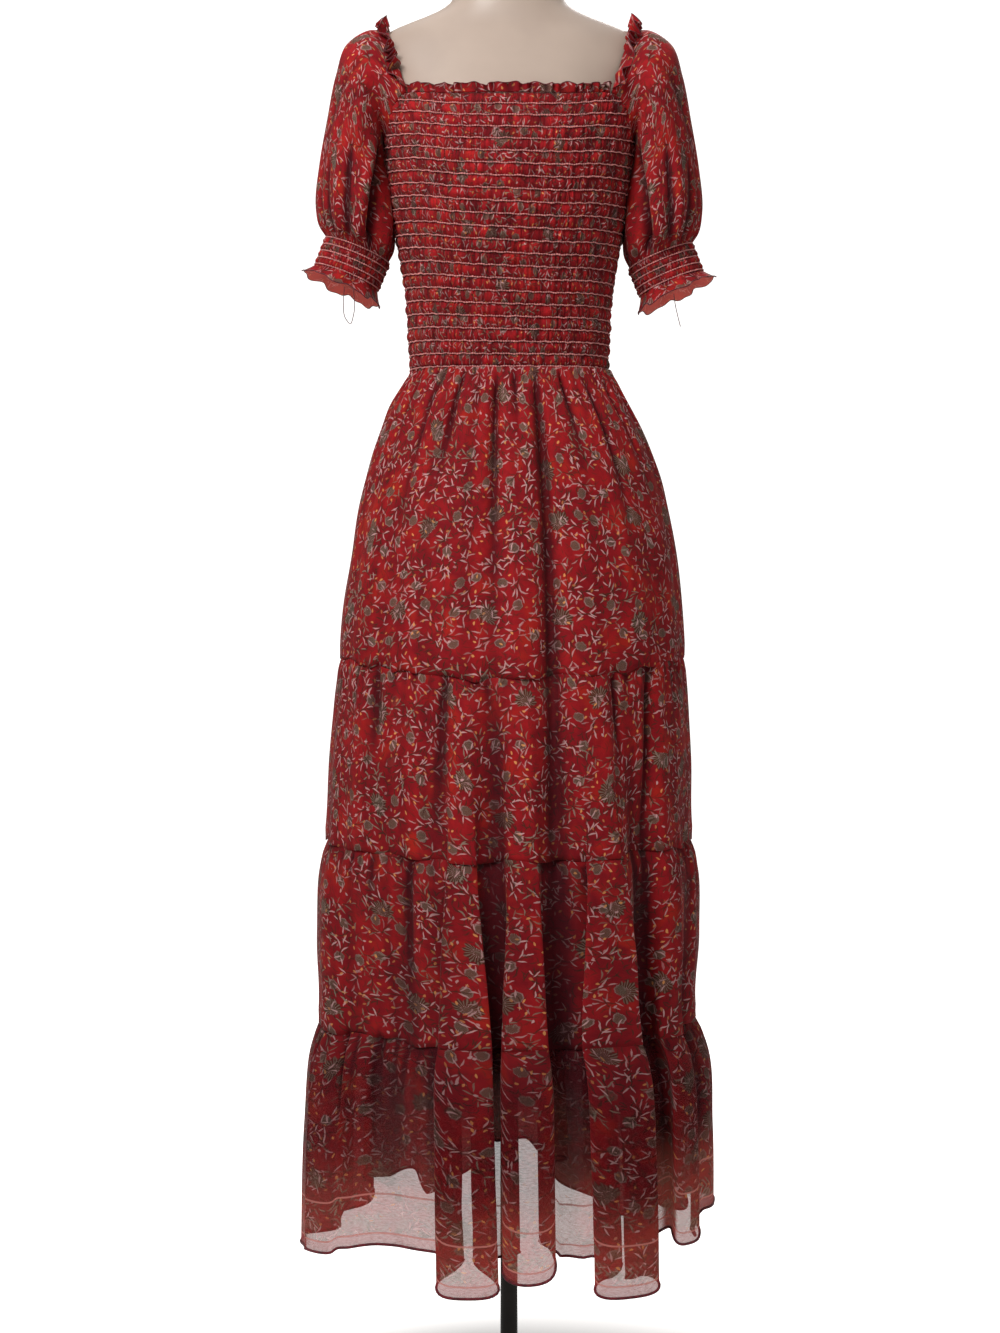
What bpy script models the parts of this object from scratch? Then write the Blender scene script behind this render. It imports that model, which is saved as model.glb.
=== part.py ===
"""Tiered maxi dress with a smocked bodice and puff sleeves, on a limbless dress form and pole stand.

Metres, +Z up. The dress faces -Y, and +X is the wearer's left. The origin is the middle of the
stand's underside. Cloth is a thin closed wall, and each cut piece is a solid of its own.
"""

import math
from collections import namedtuple

import bmesh
import bpy
from mathutils import Vector

# Cloth and clearances
SEAM_GAP = 0.0003
CURVED_SEAM_GAP = 0.0009
CLOTH = 0.0018
SLEEVE_CLOTH = 0.0015
FORM_GAP = 0.0022
WAIST_FORM_GAP = 0.0008

# Smocked bodice
SMOCK_ROWS = 22
SMOCK_BASE = 0.0012
SMOCK_PUFF = 0.0017
BODICE_COLUMNS = 20
BODICE_LINING_BANDS = 11
FORM_COLUMNS = 36

# Neckline and armholes, as angles from the side seam
NECK_FRONT = 1.5240
NECK_BACK = 1.5430
UNDERARM = 1.4800
UNDERARM_ANGLE = 12.0
CORNER_ANGLE = 42.0
STRAP_TOP_X = 0.1400
STRAP_TOP_Z = 1.6100
STRAP_CLOTH = 0.0038

# Ruffles
RUFFLE_HEIGHT = 0.0095
RUFFLE_WAVE = 0.0022
RUFFLE_CLOTH = 0.0012
FRONT_RUFFLE_WAVES = 12
BACK_RUFFLE_WAVES = 10
STRAP_RUFFLE_WAVES = 5

# Sleeves, cuffs and cuff ruffles
SLEEVE_COLUMNS = 24
SLEEVE_GATHERS = 6
SLEEVE_GATHER_DEPTH = 0.0020
CUFF_COLUMNS = 20
CUFF_ROWS = 4
CUFF_LENGTH = 0.0330
CUFF_HALF_WIDTH = 0.0375
CUFF_HALF_DEPTH = 0.0455
CUFF_TILT = math.radians(21.7)
CUFF_TOP = Vector((0.1775, 0.000, 1.3560))
CUFF_RUFFLE_WAVES = 7
CUFF_RUFFLE_LENGTH = 0.0170
CUFF_RUFFLE_FLARE = 0.0095
CUFF_RUFFLE_WAVE = 0.0028
LEFT_CUFF_DROP = 0.0070

# Stand
BASE_RADIUS = 0.165
BASE_THICKNESS = 0.010
BOSS_RADIUS = 0.024
BOSS_HEIGHT = 0.016
POLE_RADIUS = 0.010
NECK_CAP_HEIGHT = 0.010
STAND_SEGMENTS = 40

# The figure that the dress is cut for: one row for each level section
Section = namedtuple("Section", "z half_width front back")
FIGURE = [
    Section(0.930, 0.128, 0.084, 0.094),
    Section(0.945, 0.146, 0.095, 0.108),
    Section(0.975, 0.158, 0.102, 0.117),
    Section(1.020, 0.162, 0.105, 0.120),
    Section(1.070, 0.153, 0.101, 0.112),
    Section(1.120, 0.136, 0.094, 0.097),
    Section(1.170, 0.119, 0.088, 0.083),
    Section(1.212, 0.1120, 0.0860, 0.0780),
    Section(1.260, 0.1125, 0.0900, 0.0820),
    Section(1.300, 0.1150, 0.0970, 0.0890),
    Section(1.345, 0.1220, 0.1080, 0.0970),
    Section(1.390, 0.1310, 0.1190, 0.1030),
    Section(1.440, 0.1385, 0.1250, 0.1060),
    Section(1.487, 0.1435, 0.1170, 0.1060),
    Section(1.525, 0.1500, 0.1000, 0.1020),
    Section(1.555, 0.1570, 0.0840, 0.0930),
    Section(1.580, 0.1600, 0.0710, 0.0830),
    Section(1.598, 0.1550, 0.0620, 0.0750),
    Section(1.610, 0.1400, 0.0560, 0.0690),
    Section(1.620, 0.1160, 0.0530, 0.0650),
    Section(1.630, 0.0900, 0.0515, 0.0625),
    Section(1.640, 0.0730, 0.0505, 0.0610),
    Section(1.655, 0.0630, 0.0500, 0.0600),
    Section(1.690, 0.0590, 0.0490, 0.0590),
]
SQUARENESS = 2.2

# The skirt's plan at each height: reach to the wearer's right, left, front and back
Plan = namedtuple("Plan", "z right left front back")
SKIRT = [
    Plan(1.2130, 0.1150, 0.1200, 0.0900, 0.0820),
    Plan(1.1980, 0.1240, 0.1280, 0.0960, 0.0900),
    Plan(1.1750, 0.1380, 0.1400, 0.1040, 0.1010),
    Plan(1.1465, 0.1486, 0.1550, 0.1130, 0.1140),
    Plan(1.1170, 0.1590, 0.1670, 0.1220, 0.1270),
    Plan(1.0880, 0.1670, 0.1770, 0.1300, 0.1370),
    Plan(1.0590, 0.1740, 0.1835, 0.1370, 0.1450),
    Plan(1.0000, 0.1825, 0.1945, 0.1490, 0.1570),
    Plan(0.9420, 0.1920, 0.2005, 0.1600, 0.1680),
    Plan(0.8800, 0.1970, 0.2040, 0.1720, 0.1790),
    Plan(0.8550, 0.1985, 0.2050, 0.1760, 0.1830),
    Plan(0.7660, 0.2060, 0.2090, 0.1880, 0.1950),
    Plan(0.6700, 0.2120, 0.2120, 0.2000, 0.2070),
    Plan(0.6450, 0.2165, 0.2170, 0.2060, 0.2130),
    Plan(0.5600, 0.2200, 0.2195, 0.2130, 0.2200),
    Plan(0.4600, 0.2205, 0.2190, 0.2180, 0.2240),
    Plan(0.4300, 0.2280, 0.2290, 0.2230, 0.2300),
    Plan(0.3400, 0.2350, 0.2350, 0.2270, 0.2360),
    Plan(0.1800, 0.2385, 0.2360, 0.2290, 0.2390),
]

# Level seams round the skirt: heights at the sides, the front and the back
Level = namedtuple("Level", "side front back")
SEAMS = [
    Level(1.2150, 1.2110, 1.2130),
    Level(0.8810, 0.8560, 0.8860),
    Level(0.6690, 0.6560, 0.6850),
    Level(0.4600, 0.4530, 0.4850),
]

# The tiers: columns across each panel, and how the gathers at the top run out
Tier = namedtuple("Tier", "front_columns back_columns depth fade pop bands")
TIERS = [
    Tier(32, 28, 0.0030, 0.055, 0.0010, (0.0, 0.012, 0.045, 0.110, 0.190, 0.265, 1.0)),
    Tier(44, 36, 0.0032, 0.040, 0.0030, (0.0, 0.010, 0.045, 0.120, 1.0)),
    Tier(44, 36, 0.0034, 0.040, 0.0030, (0.0, 0.010, 0.045, 0.120, 1.0)),
    Tier(44, 36, 0.0036, 0.040, 0.0030, (0.0, 0.010, 0.045, 0.150, 1.0)),
]

# The large folds: where each runs at the waist end and at the hem, its half width and its reach
Fold = namedtuple("Fold", "upper lower half_width reach start")
FOLDS = [
    Fold(203.0, 202.0, 9.0, 0.006, 1.000),
    Fold(234.0, 236.0, 17.0, -0.024, 0.800),
    Fold(257.0, 260.5, 5.5, 0.014, 0.950),
    Fold(265.0, 268.0, 4.0, -0.022, 1.000),
    Fold(273.0, 274.0, 4.5, 0.010, 1.000),
    Fold(281.5, 284.5, 5.0, -0.024, 1.000),
    Fold(295.0, 299.0, 7.0, 0.014, 1.000),
    Fold(311.0, 313.0, 5.0, -0.022, 1.000),
    Fold(323.0, 324.0, 6.0, 0.006, 0.900),
    Fold(341.0, 340.0, 6.0, -0.014, 0.900),
    Fold(18.0, 20.0, 6.0, -0.014, 0.900),
    Fold(38.0, 36.0, 8.0, 0.008, 0.950),
    Fold(52.0, 55.0, 5.0, -0.018, 1.000),
    Fold(76.0, 74.0, 6.0, 0.010, 1.000),
    Fold(88.0, 87.0, 5.0, -0.020, 1.000),
    Fold(100.0, 104.0, 7.0, 0.010, 1.000),
    Fold(118.0, 121.0, 5.0, -0.020, 0.950),
    Fold(136.0, 138.0, 8.0, 0.010, 0.950),
    Fold(158.0, 156.0, 6.0, -0.014, 0.900),
]

# The hem's height round the skirt
Hem = namedtuple("Hem", "angle z")
HEM = [
    Hem(0.0, 0.250),
    Hem(14.0, 0.243),
    Hem(32.0, 0.205),
    Hem(53.0, 0.190),
    Hem(66.0, 0.193),
    Hem(76.0, 0.222),
    Hem(86.0, 0.280),
    Hem(95.0, 0.270),
    Hem(109.0, 0.196),
    Hem(122.0, 0.248),
    Hem(136.0, 0.200),
    Hem(160.0, 0.192),
    Hem(180.0, 0.202),
    Hem(205.0, 0.211),
    Hem(230.0, 0.230),
    Hem(252.0, 0.232),
    Hem(257.5, 0.188),
    Hem(264.0, 0.190),
    Hem(268.0, 0.214),
    Hem(274.0, 0.203),
    Hem(280.0, 0.226),
    Hem(289.0, 0.226),
    Hem(294.0, 0.186),
    Hem(306.0, 0.185),
    Hem(312.0, 0.230),
    Hem(337.0, 0.228),
    Hem(345.0, 0.250),
    Hem(360.0, 0.250),
]

# The sleeve's rings below the armhole, seen from the front: outer and inner edge, and half depth
Ring = namedtuple("Ring", "x_out z_out x_in z_in half_depth")
SLEEVE = [
    Ring(0.1660, 1.6120, 0.1530, 1.4770, 0.0680),
    Ring(0.1900, 1.5960, 0.1540, 1.4620, 0.0730),
    Ring(0.2030, 1.5600, 0.1530, 1.4440, 0.0750),
    Ring(0.2130, 1.5090, 0.1510, 1.4240, 0.0750),
    Ring(0.2220, 1.4570, 0.1480, 1.4030, 0.0730),
    Ring(0.2265, 1.4080, 0.1450, 1.3780, 0.0690),
    Ring(0.2225, 1.3840, 0.1415, 1.3550, 0.0600),
]

# Colours as red, green and blue, with roughness and metallic value
Finish = namedtuple("Finish", "red green blue roughness metallic")
FINISHES = {
    "red_floral_chiffon": Finish(0.160, 0.023, 0.024, 0.80, 0.0),
    "cream_form": Finish(0.610, 0.500, 0.410, 0.35, 0.0),
    "black_stand": Finish(0.017, 0.014, 0.011, 0.40, 0.6),
}


def clear_scene():
    """Remove what the opened file holds."""
    for thing in list(bpy.data.objects):
        bpy.data.objects.remove(thing, do_unlink=True)


def finish_material(name):
    """The Principled material for one finish."""
    if name in bpy.data.materials:
        return bpy.data.materials[name]
    finish = FINISHES[name]
    material = bpy.data.materials.new(name)
    material.use_nodes = True
    shader = material.node_tree.nodes["Principled BSDF"]
    shader.inputs["Base Color"].default_value = (finish.red, finish.green, finish.blue, 1.0)
    shader.inputs["Roughness"].default_value = finish.roughness
    shader.inputs["Metallic"].default_value = finish.metallic
    return material


def smoothstep(value):
    """0 below 0, 1 above 1, and a soft rise between."""
    held = min(1.0, max(0.0, value))
    return held * held * (3.0 - 2.0 * held)


def between(low, high, share):
    """The value or point at a share of the way from low to high."""
    return low + (high - low) * share


def read_column(table, column, z):
    """A column of a table of sections at a height, straight between the rows."""
    rows = sorted(table, key=lambda row: row.z)
    if z <= rows[0].z:
        return getattr(rows[0], column)
    for low, high in zip(rows, rows[1:]):
        if z <= high.z:
            share = (z - low.z) / (high.z - low.z)
            return between(getattr(low, column), getattr(high, column), share)
    return getattr(rows[-1], column)


def plan_direction(angle):
    """Shares of the half width and of the depth at an angle in degrees from +X."""
    cosine = math.cos(math.radians(angle))
    sine = math.sin(math.radians(angle))
    power = 2.0 / SQUARENESS
    across = math.copysign(abs(cosine) ** power, cosine)
    along = math.copysign(abs(sine) ** power, sine)
    return across, along


def figure_point(angle, z, away=0.0):
    """A point on the figure at an angle, moved out level by away."""
    across, along = plan_direction(angle)
    depth = read_column(FIGURE, "back" if along > 0.0 else "front", z)
    point = Vector((read_column(FIGURE, "half_width", z) * across, depth * along, z))
    turn = math.radians(angle)
    return point + Vector((math.cos(turn), math.sin(turn), 0.0)) * away


def figure_normal(angle, z):
    """The figure's unit normal, pointing out."""
    step = 0.5
    rise = 0.004
    round_way = figure_point(angle + step, z) - figure_point(angle - step, z)
    up_way = figure_point(angle, z + rise) - figure_point(angle, z - rise)
    return round_way.cross(up_way).normalized()


def side_angle(angle):
    """How far an angle lies from the nearer side seam, in degrees."""
    return min(angle % 180.0, 180.0 - angle % 180.0)


def bodice_top(angle):
    """Height of the bodice's upper edge: armhole, then up the raglan seam to the neckline."""
    neck = NECK_BACK if math.sin(math.radians(angle)) > 0.0 else NECK_FRONT
    rise = (side_angle(angle) - UNDERARM_ANGLE) / (CORNER_ANGLE - UNDERARM_ANGLE)
    return between(UNDERARM, neck, smoothstep(rise))


def seam_height(number, angle):
    """Height of the waist seam or of one of the seams between tiers."""
    level = SEAMS[number]
    sine = math.sin(math.radians(angle))
    other = level.back if sine > 0.0 else level.front
    return between(level.side, other, sine * sine)


def hem_height(angle):
    """Height of the hem, soft between the rows of its table."""
    turned = angle % 360.0
    for low, high in zip(HEM, HEM[1:]):
        if turned <= high.angle:
            share = (turned - low.angle) / (high.angle - low.angle)
            return between(low.z, high.z, smoothstep(share))
    return HEM[-1].z


def tier_edge(number, angle):
    """Height of the lower edge of a tier."""
    if number + 1 < len(SEAMS):
        return seam_height(number + 1, angle)
    return hem_height(angle)


def fold_reach(angle, z):
    """How far the large folds carry the skirt out or in."""
    lowest = SKIRT[-1].z
    total = 0.0
    for fold in FOLDS:
        if z >= fold.start:
            continue
        share = (fold.start - z) / (fold.start - lowest)
        middle = between(fold.upper, fold.lower, share)
        off = (angle - middle + 180.0) % 360.0 - 180.0
        total += fold.reach * smoothstep(share * 1.25) * math.exp(-((off / fold.half_width) ** 2))
    return total


def gather_reach(tier, angle, drop):
    """How far one gather below a seam stands out or in, at a drop below that seam."""
    columns = tier.back_columns if angle % 360.0 < 180.0 else tier.front_columns
    place = (angle % 180.0) / 180.0 * columns
    uneven = 0.75 + 0.25 * math.sin(place * 1.9 + columns)
    rise = smoothstep(drop / 0.012) * 0.65 + 0.35
    wave = math.cos(math.pi * place)
    return tier.depth * uneven * rise * wave * math.exp(-max(0.0, drop - 0.012) / tier.fade)


def skirt_point(number, angle, z):
    """A point on the outer face of a tier."""
    tier = TIERS[number]
    across, along = plan_direction(angle)
    reach_x = read_column(SKIRT, "left" if across > 0.0 else "right", z)
    reach_y = read_column(SKIRT, "back" if along > 0.0 else "front", z)
    drop = seam_height(number, angle) - z
    out = fold_reach(angle, z) + gather_reach(tier, angle, drop)
    out += tier.pop * smoothstep(drop / 0.012)
    turn = math.radians(angle)
    away = Vector((math.cos(turn), math.sin(turn), 0.0)) * out
    return Vector((reach_x * across, reach_y * along, z)) + away


def moved_in(point, distance):
    """A point moved level towards the stand's axis."""
    flat = Vector((point.x, point.y, 0.0))
    return point - flat.normalized() * distance


def stitch_strip(faces, first, second, closed=False):
    """Triangles between two rows of vertices that may differ in number."""
    turns_a = len(first) if closed else len(first) - 1
    turns_b = len(second) if closed else len(second) - 1
    a = 0
    b = 0
    while a < turns_a or b < turns_b:
        here_a = first[a % len(first)]
        here_b = second[b % len(second)]
        step_a = (a + 1) / turns_a if a < turns_a else math.inf
        step_b = (b + 1) / turns_b if b < turns_b else math.inf
        if step_a <= step_b:
            faces.append((here_a, here_b, first[(a + 1) % len(first)]))
            a += 1
        else:
            faces.append((here_a, here_b, second[(b + 1) % len(second)]))
            b += 1


def stitch_rows(faces, rows, closed=False):
    """Triangles over a whole face, row by row."""
    for upper, lower in zip(rows, rows[1:]):
        stitch_strip(faces, upper, lower, closed)


def make_solid(name, finish, outer, inner, closed=False):
    """One closed wall from rows of points on its outer and its inner face."""
    mesh = bmesh.new()
    outer_rows = [[mesh.verts.new(point) for point in row] for row in outer]
    inner_rows = [[mesh.verts.new(point) for point in row] for row in inner]
    faces = []
    stitch_rows(faces, outer_rows, closed)
    stitch_rows(faces, inner_rows, closed)
    stitch_strip(faces, outer_rows[0], inner_rows[0], closed)
    stitch_strip(faces, outer_rows[-1], inner_rows[-1], closed)
    if not closed:
        for side in (0, -1):
            outer_side = [row[side] for row in outer_rows]
            inner_side = [row[side] for row in inner_rows]
            stitch_strip(faces, outer_side, inner_side)
    for face in faces:
        mesh.faces.new(face)
    return add_object(name, finish, mesh)


def make_lump(name, finish, rows):
    """One closed solid from level rings, with a flat cap on each end."""
    mesh = bmesh.new()
    rings = [[mesh.verts.new(point) for point in row] for row in rows]
    faces = []
    stitch_rows(faces, rings, closed=True)
    for face in faces:
        mesh.faces.new(face)
    for ring in (rings[0], rings[-1]):
        mesh.faces.new(ring)
    return add_object(name, finish, mesh)


def add_object(name, finish, mesh):
    """Turn a bmesh into a named object, its faces pointing out and shaded smooth."""
    bmesh.ops.recalc_face_normals(mesh, faces=mesh.faces)
    if mesh.calc_volume(signed=True) < 0.0:
        bmesh.ops.reverse_faces(mesh, faces=mesh.faces)
    data = bpy.data.meshes.new(name)
    mesh.to_mesh(data)
    mesh.free()
    data.materials.append(finish_material(finish))
    data.shade_smooth()
    data.set_sharp_from_angle(angle=math.radians(40.0))
    thing = bpy.data.objects.new(name, data)
    bpy.context.scene.collection.objects.link(thing)
    return thing


def panel_angles(front, columns, radius):
    """Angles across the front or the back panel, held back from the side seams."""
    edge = math.degrees(SEAM_GAP / 2.0 / radius)
    start = 180.0 if front else 0.0
    angles = [start + 180.0 * step / columns for step in range(columns + 1)]
    angles[0] += edge
    angles[-1] -= edge
    return angles


def smock_height(step, angle):
    """Height of a half row of smocking: rows bow down towards the armhole."""
    share = step / (2.0 * SMOCK_ROWS)
    bottom = seam_height(0, angle) + SEAM_GAP / 2.0
    neck = NECK_BACK if math.sin(math.radians(angle)) > 0.0 else NECK_FRONT
    full = between(neck, bottom, share)
    return full - (neck - bodice_top(angle)) * (1.0 - share) ** 3


def smock_reach(step, column):
    """Thickness of the smocked wall: thin at a row, puffed between rows and at each pucker."""
    if step % 2 == 0:
        return SMOCK_BASE
    pucker = 1.0 if (column + step // 2) % 2 == 0 else 0.45
    return SMOCK_BASE + SMOCK_PUFF * pucker


def form_gap(z):
    """Clearance between the form and the inside of the bodice."""
    waist = SEAMS[0].side
    return between(WAIST_FORM_GAP, FORM_GAP, smoothstep((z - waist) / 0.03))


def make_bodice(name, front):
    """A shirred panel, puffed in its outer points over a plain inside."""
    waist = read_column(FIGURE, "half_width", SEAMS[0].side)
    outer = []
    for step in range(2 * SMOCK_ROWS + 1):
        row = []
        for column, angle in enumerate(panel_angles(front, BODICE_COLUMNS, waist)):
            z = smock_height(step, angle)
            row.append(figure_point(angle, z, form_gap(z) + smock_reach(step, column)))
        outer.append(row)
    inner = []
    for band in range(BODICE_LINING_BANDS + 1):
        step = 2.0 * SMOCK_ROWS * band / BODICE_LINING_BANDS
        row = []
        for angle in panel_angles(front, FORM_COLUMNS // 2, waist):
            z = smock_height(step, angle)
            row.append(figure_point(angle, z, form_gap(z)))
        inner.append(row)
    make_solid(name, "red_floral_chiffon", outer, inner)


def make_ruffle(name, roots, rises, outs, waves):
    """A frilled strip along a line of roots, waved across its thickness."""
    outer = []
    inner = []
    last = len(roots) - 1
    for share, depth in ((1.0, 1.0), (0.45, 0.7), (0.0, 0.15)):
        outer_row = []
        inner_row = []
        for place, (root, rise, out) in enumerate(zip(roots, rises, outs)):
            wave = math.cos(math.pi * waves * 2.0 * place / last)
            height = RUFFLE_HEIGHT * share * (0.90 + 0.10 * math.cos(2.7 * place))
            point = root + rise * height + out * (RUFFLE_WAVE * depth * wave)
            outer_row.append(point + out * (RUFFLE_CLOTH / 2.0))
            inner_row.append(point - out * (RUFFLE_CLOTH / 2.0))
        outer.append(outer_row)
        inner.append(inner_row)
    make_solid(name, "red_floral_chiffon", outer, inner)


def make_neck_ruffle(name, front, waves):
    """The header above the bodice's neckline, between the sleeves."""
    start = 180.0 if front else 0.0
    neck = NECK_FRONT if front else NECK_BACK
    first = start + CORNER_ANGLE + 1.5
    last = start + 180.0 - CORNER_ANGLE - 1.5
    count = waves * 2 + 1
    roots = []
    rises = []
    outs = []
    for place in range(count):
        angle = between(first, last, place / (count - 1))
        away = form_gap(neck) + SMOCK_BASE
        root = figure_point(angle, neck + SEAM_GAP, away)
        out = Vector((root.x, root.y, 0.0)).normalized()
        roots.append(root)
        outs.append(out)
        rises.append(Vector((out.x * 0.05, out.y * 0.05, 1.0)).normalized())
    make_ruffle(name, roots, rises, outs, waves)


def strap_point(share, away):
    """The neck edge of the left sleeve: share -1 at the front corner, 0 on top, 1 at the back."""
    back = share > 0.0
    corner_z = (NECK_BACK if back else NECK_FRONT) + SEAM_GAP
    corner_x = figure_point(CORNER_ANGLE, corner_z).x
    z = between(STRAP_TOP_Z, corner_z, abs(share) ** 1.8)
    x = between(STRAP_TOP_X, corner_x, abs(share) ** 1.8)
    across = min(1.0, x / read_column(FIGURE, "half_width", z))
    angle = math.degrees(math.acos(across ** (SQUARENESS / 2.0)))
    angle = angle if back else 360.0 - angle
    return figure_point(angle, z) + figure_normal(angle, z) * (STRAP_CLOTH + away)


def armhole_ring(count, side):
    """Points round a sleeve's upper edge: underarm, front seam, neck edge, back seam."""
    seam_share = 0.30
    ring = []
    for place in range(count):
        share = place / count
        if share < seam_share:
            angle = 360.0 - CORNER_ANGLE * share / seam_share
            point = figure_point(angle, bodice_top(angle) + CURVED_SEAM_GAP, STRAP_CLOTH)
        elif share <= 1.0 - seam_share:
            along = (share - seam_share) / (1.0 - 2.0 * seam_share)
            point = strap_point(2.0 * along - 1.0, 0.0)
        else:
            angle = CORNER_ANGLE * (1.0 - share) / seam_share
            point = figure_point(angle, bodice_top(angle) + CURVED_SEAM_GAP, STRAP_CLOTH)
        ring.append(Vector((point.x * side, point.y, point.z)))
    return ring


def cuff_drop(side):
    """How much lower the wearer's left band hangs than the right one."""
    return Vector((0.0, 0.0, -LEFT_CUFF_DROP if side > 0.0 else 0.0))


def sleeve_ring(ring, count, side, gather):
    """Points round one ring of the sleeve, from the inner edge through the front and over."""
    points = []
    hang = (SLEEVE[0].z_out - ring.z_out) / (SLEEVE[0].z_out - CUFF_TOP.z)
    middle = Vector(((ring.x_in + ring.x_out) / 2.0, 0.0, (ring.z_in + ring.z_out) / 2.0))
    reach = Vector(((ring.x_out - ring.x_in) / 2.0, 0.0, (ring.z_out - ring.z_in) / 2.0))
    for place in range(count):
        turn = 2.0 * math.pi * place / count
        wave = 1.0 + gather * math.cos(math.pi * place * 2.0 * SLEEVE_GATHERS / count)
        point = middle - reach * (math.cos(turn) * wave)
        point.y = -ring.half_depth * math.sin(turn) * wave
        points.append(Vector((point.x * side, point.y, point.z)) + cuff_drop(side) * hang)
    return points


def grid_normals(rows):
    """Unit normals of a closed band of rings, pointing away from the middle of each ring."""
    normals = []
    for level, row in enumerate(rows):
        above = rows[max(0, level - 1)]
        below = rows[min(len(rows) - 1, level + 1)]
        centre = sum(row, Vector()) / len(row)
        line = []
        for place, point in enumerate(row):
            round_way = row[(place + 1) % len(row)] - row[place - 1]
            along = below[place] - above[place]
            normal = round_way.cross(along).normalized()
            if normal.dot(point - centre) < 0.0:
                normal = -normal
            line.append(normal)
        normals.append(line)
    return normals


def make_sleeve(name, side):
    """A puff sleeve from the armhole and neck edge down to the band."""
    rows = [armhole_ring(SLEEVE_COLUMNS, side)]
    last = len(SLEEVE) - 1
    for level, ring in enumerate(SLEEVE):
        near_end = max(0.0, 1.0 - min(level, last - level) / 2.0)
        gather = SLEEVE_GATHER_DEPTH / ring.half_depth * near_end
        rows.append(sleeve_ring(ring, SLEEVE_COLUMNS, side, gather))
    rows.append(cuff_ring(-SEAM_GAP, SLEEVE_CLOTH, SLEEVE_COLUMNS, side))
    inner = []
    for row, line in zip(rows, grid_normals(rows)):
        inner.append([point - normal * SLEEVE_CLOTH for point, normal in zip(row, line)])
    inner[-1] = cuff_ring(-SEAM_GAP, 0.0, SLEEVE_COLUMNS, side)
    make_solid(name, "red_floral_chiffon", rows, inner, closed=True)


def cuff_frame(side):
    """The band's axis, pointing down and out, and its across direction in the same plane."""
    axis = Vector((math.sin(CUFF_TILT) * side, 0.0, -math.cos(CUFF_TILT)))
    across = Vector((math.cos(CUFF_TILT) * side, 0.0, math.sin(CUFF_TILT)))
    return axis, across


def cuff_ring(along, away, count, side, wave=0.0, waves=0):
    """Points round the band at a distance along its axis, from its inner edge over the front."""
    axis, across = cuff_frame(side)
    middle = Vector((CUFF_TOP.x * side, CUFF_TOP.y, CUFF_TOP.z)) + cuff_drop(side) + axis * along
    points = []
    for place in range(count):
        turn = 2.0 * math.pi * place / count
        out = away + wave * math.cos(waves * turn)
        width = (CUFF_HALF_WIDTH + out) * -math.cos(turn)
        depth = (CUFF_HALF_DEPTH + out) * math.sin(turn)
        points.append(middle + across * width + Vector((0.0, -depth, 0.0)))
    return points


def make_cuff(name, side):
    """The shirred band: puffed outside in 4 rows, plain inside."""
    outer = []
    steps = 2 * CUFF_ROWS
    for step in range(steps + 1):
        away = SMOCK_BASE + (SMOCK_PUFF * 0.8 if step % 2 else 0.0)
        outer.append(cuff_ring(CUFF_LENGTH * step / steps, away, CUFF_COLUMNS, side))
    inner = [cuff_ring(along, 0.0, CUFF_COLUMNS, side) for along in (0.0, CUFF_LENGTH)]
    make_solid(name, "red_floral_chiffon", outer, inner, closed=True)


def make_cuff_ruffle(name, side):
    """The flared frill below the band."""
    count = CUFF_RUFFLE_WAVES * 4
    start = CUFF_LENGTH + SEAM_GAP
    outer = []
    inner = []
    for share in (0.0, 0.4, 1.0):
        along = start + CUFF_RUFFLE_LENGTH * share
        away = CUFF_RUFFLE_FLARE * share ** 1.3
        wave = CUFF_RUFFLE_WAVE * share
        outer.append(cuff_ring(along, away + RUFFLE_CLOTH, count, side, wave, CUFF_RUFFLE_WAVES))
        inner.append(cuff_ring(along, away, count, side, wave, CUFF_RUFFLE_WAVES))
    make_solid(name, "red_floral_chiffon", outer, inner, closed=True)


def make_strap_ruffle(name, side):
    """The header along the neck edge of one sleeve."""
    count = STRAP_RUFFLE_WAVES * 2 + 1
    roots = []
    rises = []
    outs = []
    for place in range(count):
        share = between(-0.90, 0.90, place / (count - 1))
        before = strap_point(share - 0.04, 0.0)
        after = strap_point(share + 0.04, 0.0)
        root = strap_point(share, 0.0)
        out = (strap_point(share, 0.01) - root).normalized()
        rise = out.cross(after - before).normalized()
        if rise.x > 0.0:
            rise = -rise
        rise = (rise + out * 0.8).normalized()
        root = root + rise * CURVED_SEAM_GAP + out * (RUFFLE_CLOTH / 2.0)
        flip = Vector((side, 1.0, 1.0))
        roots.append(root * flip)
        rises.append(rise * flip)
        outs.append(rise.cross(after - before).normalized() * flip)
    make_ruffle(name, roots, rises, outs, STRAP_RUFFLE_WAVES)


def make_tier(number, front):
    """One panel of one tier of the skirt, gathered to the seam above it."""
    tier = TIERS[number]
    columns = tier.front_columns if front else tier.back_columns
    radius = read_column(SKIRT, "right", SEAMS[number].side)
    outer = []
    for share in tier.bands:
        row = []
        for angle in panel_angles(front, columns, radius):
            top = seam_height(number, angle) - SEAM_GAP / 2.0
            bottom = tier_edge(number, angle) + SEAM_GAP / 2.0
            z = bottom if share == 1.0 else top - share
            row.append(skirt_point(number, angle, z))
        outer.append(row)
    inner = [[moved_in(point, CLOTH) for point in row] for row in outer]
    name = f"skirt_tier_{number + 1}_{'front' if front else 'back'}"
    make_solid(name, "red_floral_chiffon", outer, inner)


def make_form():
    """The torso with its neck, and the cap on the neck."""
    angles = [360.0 * step / FORM_COLUMNS for step in range(FORM_COLUMNS)]
    rows = [[figure_point(angle, row.z) for angle in angles] for row in FIGURE]
    make_lump("form_body", "cream_form", rows)
    top = FIGURE[-1].z + SEAM_GAP
    cap = []
    for rise, inset in ((0.0, 0.0), (0.65, 0.001), (1.0, 0.008)):
        z = top + NECK_CAP_HEIGHT * rise
        cap.append([figure_point(angle, z, -inset) for angle in angles])
    make_lump("form_neck_cap", "cream_form", cap)


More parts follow.
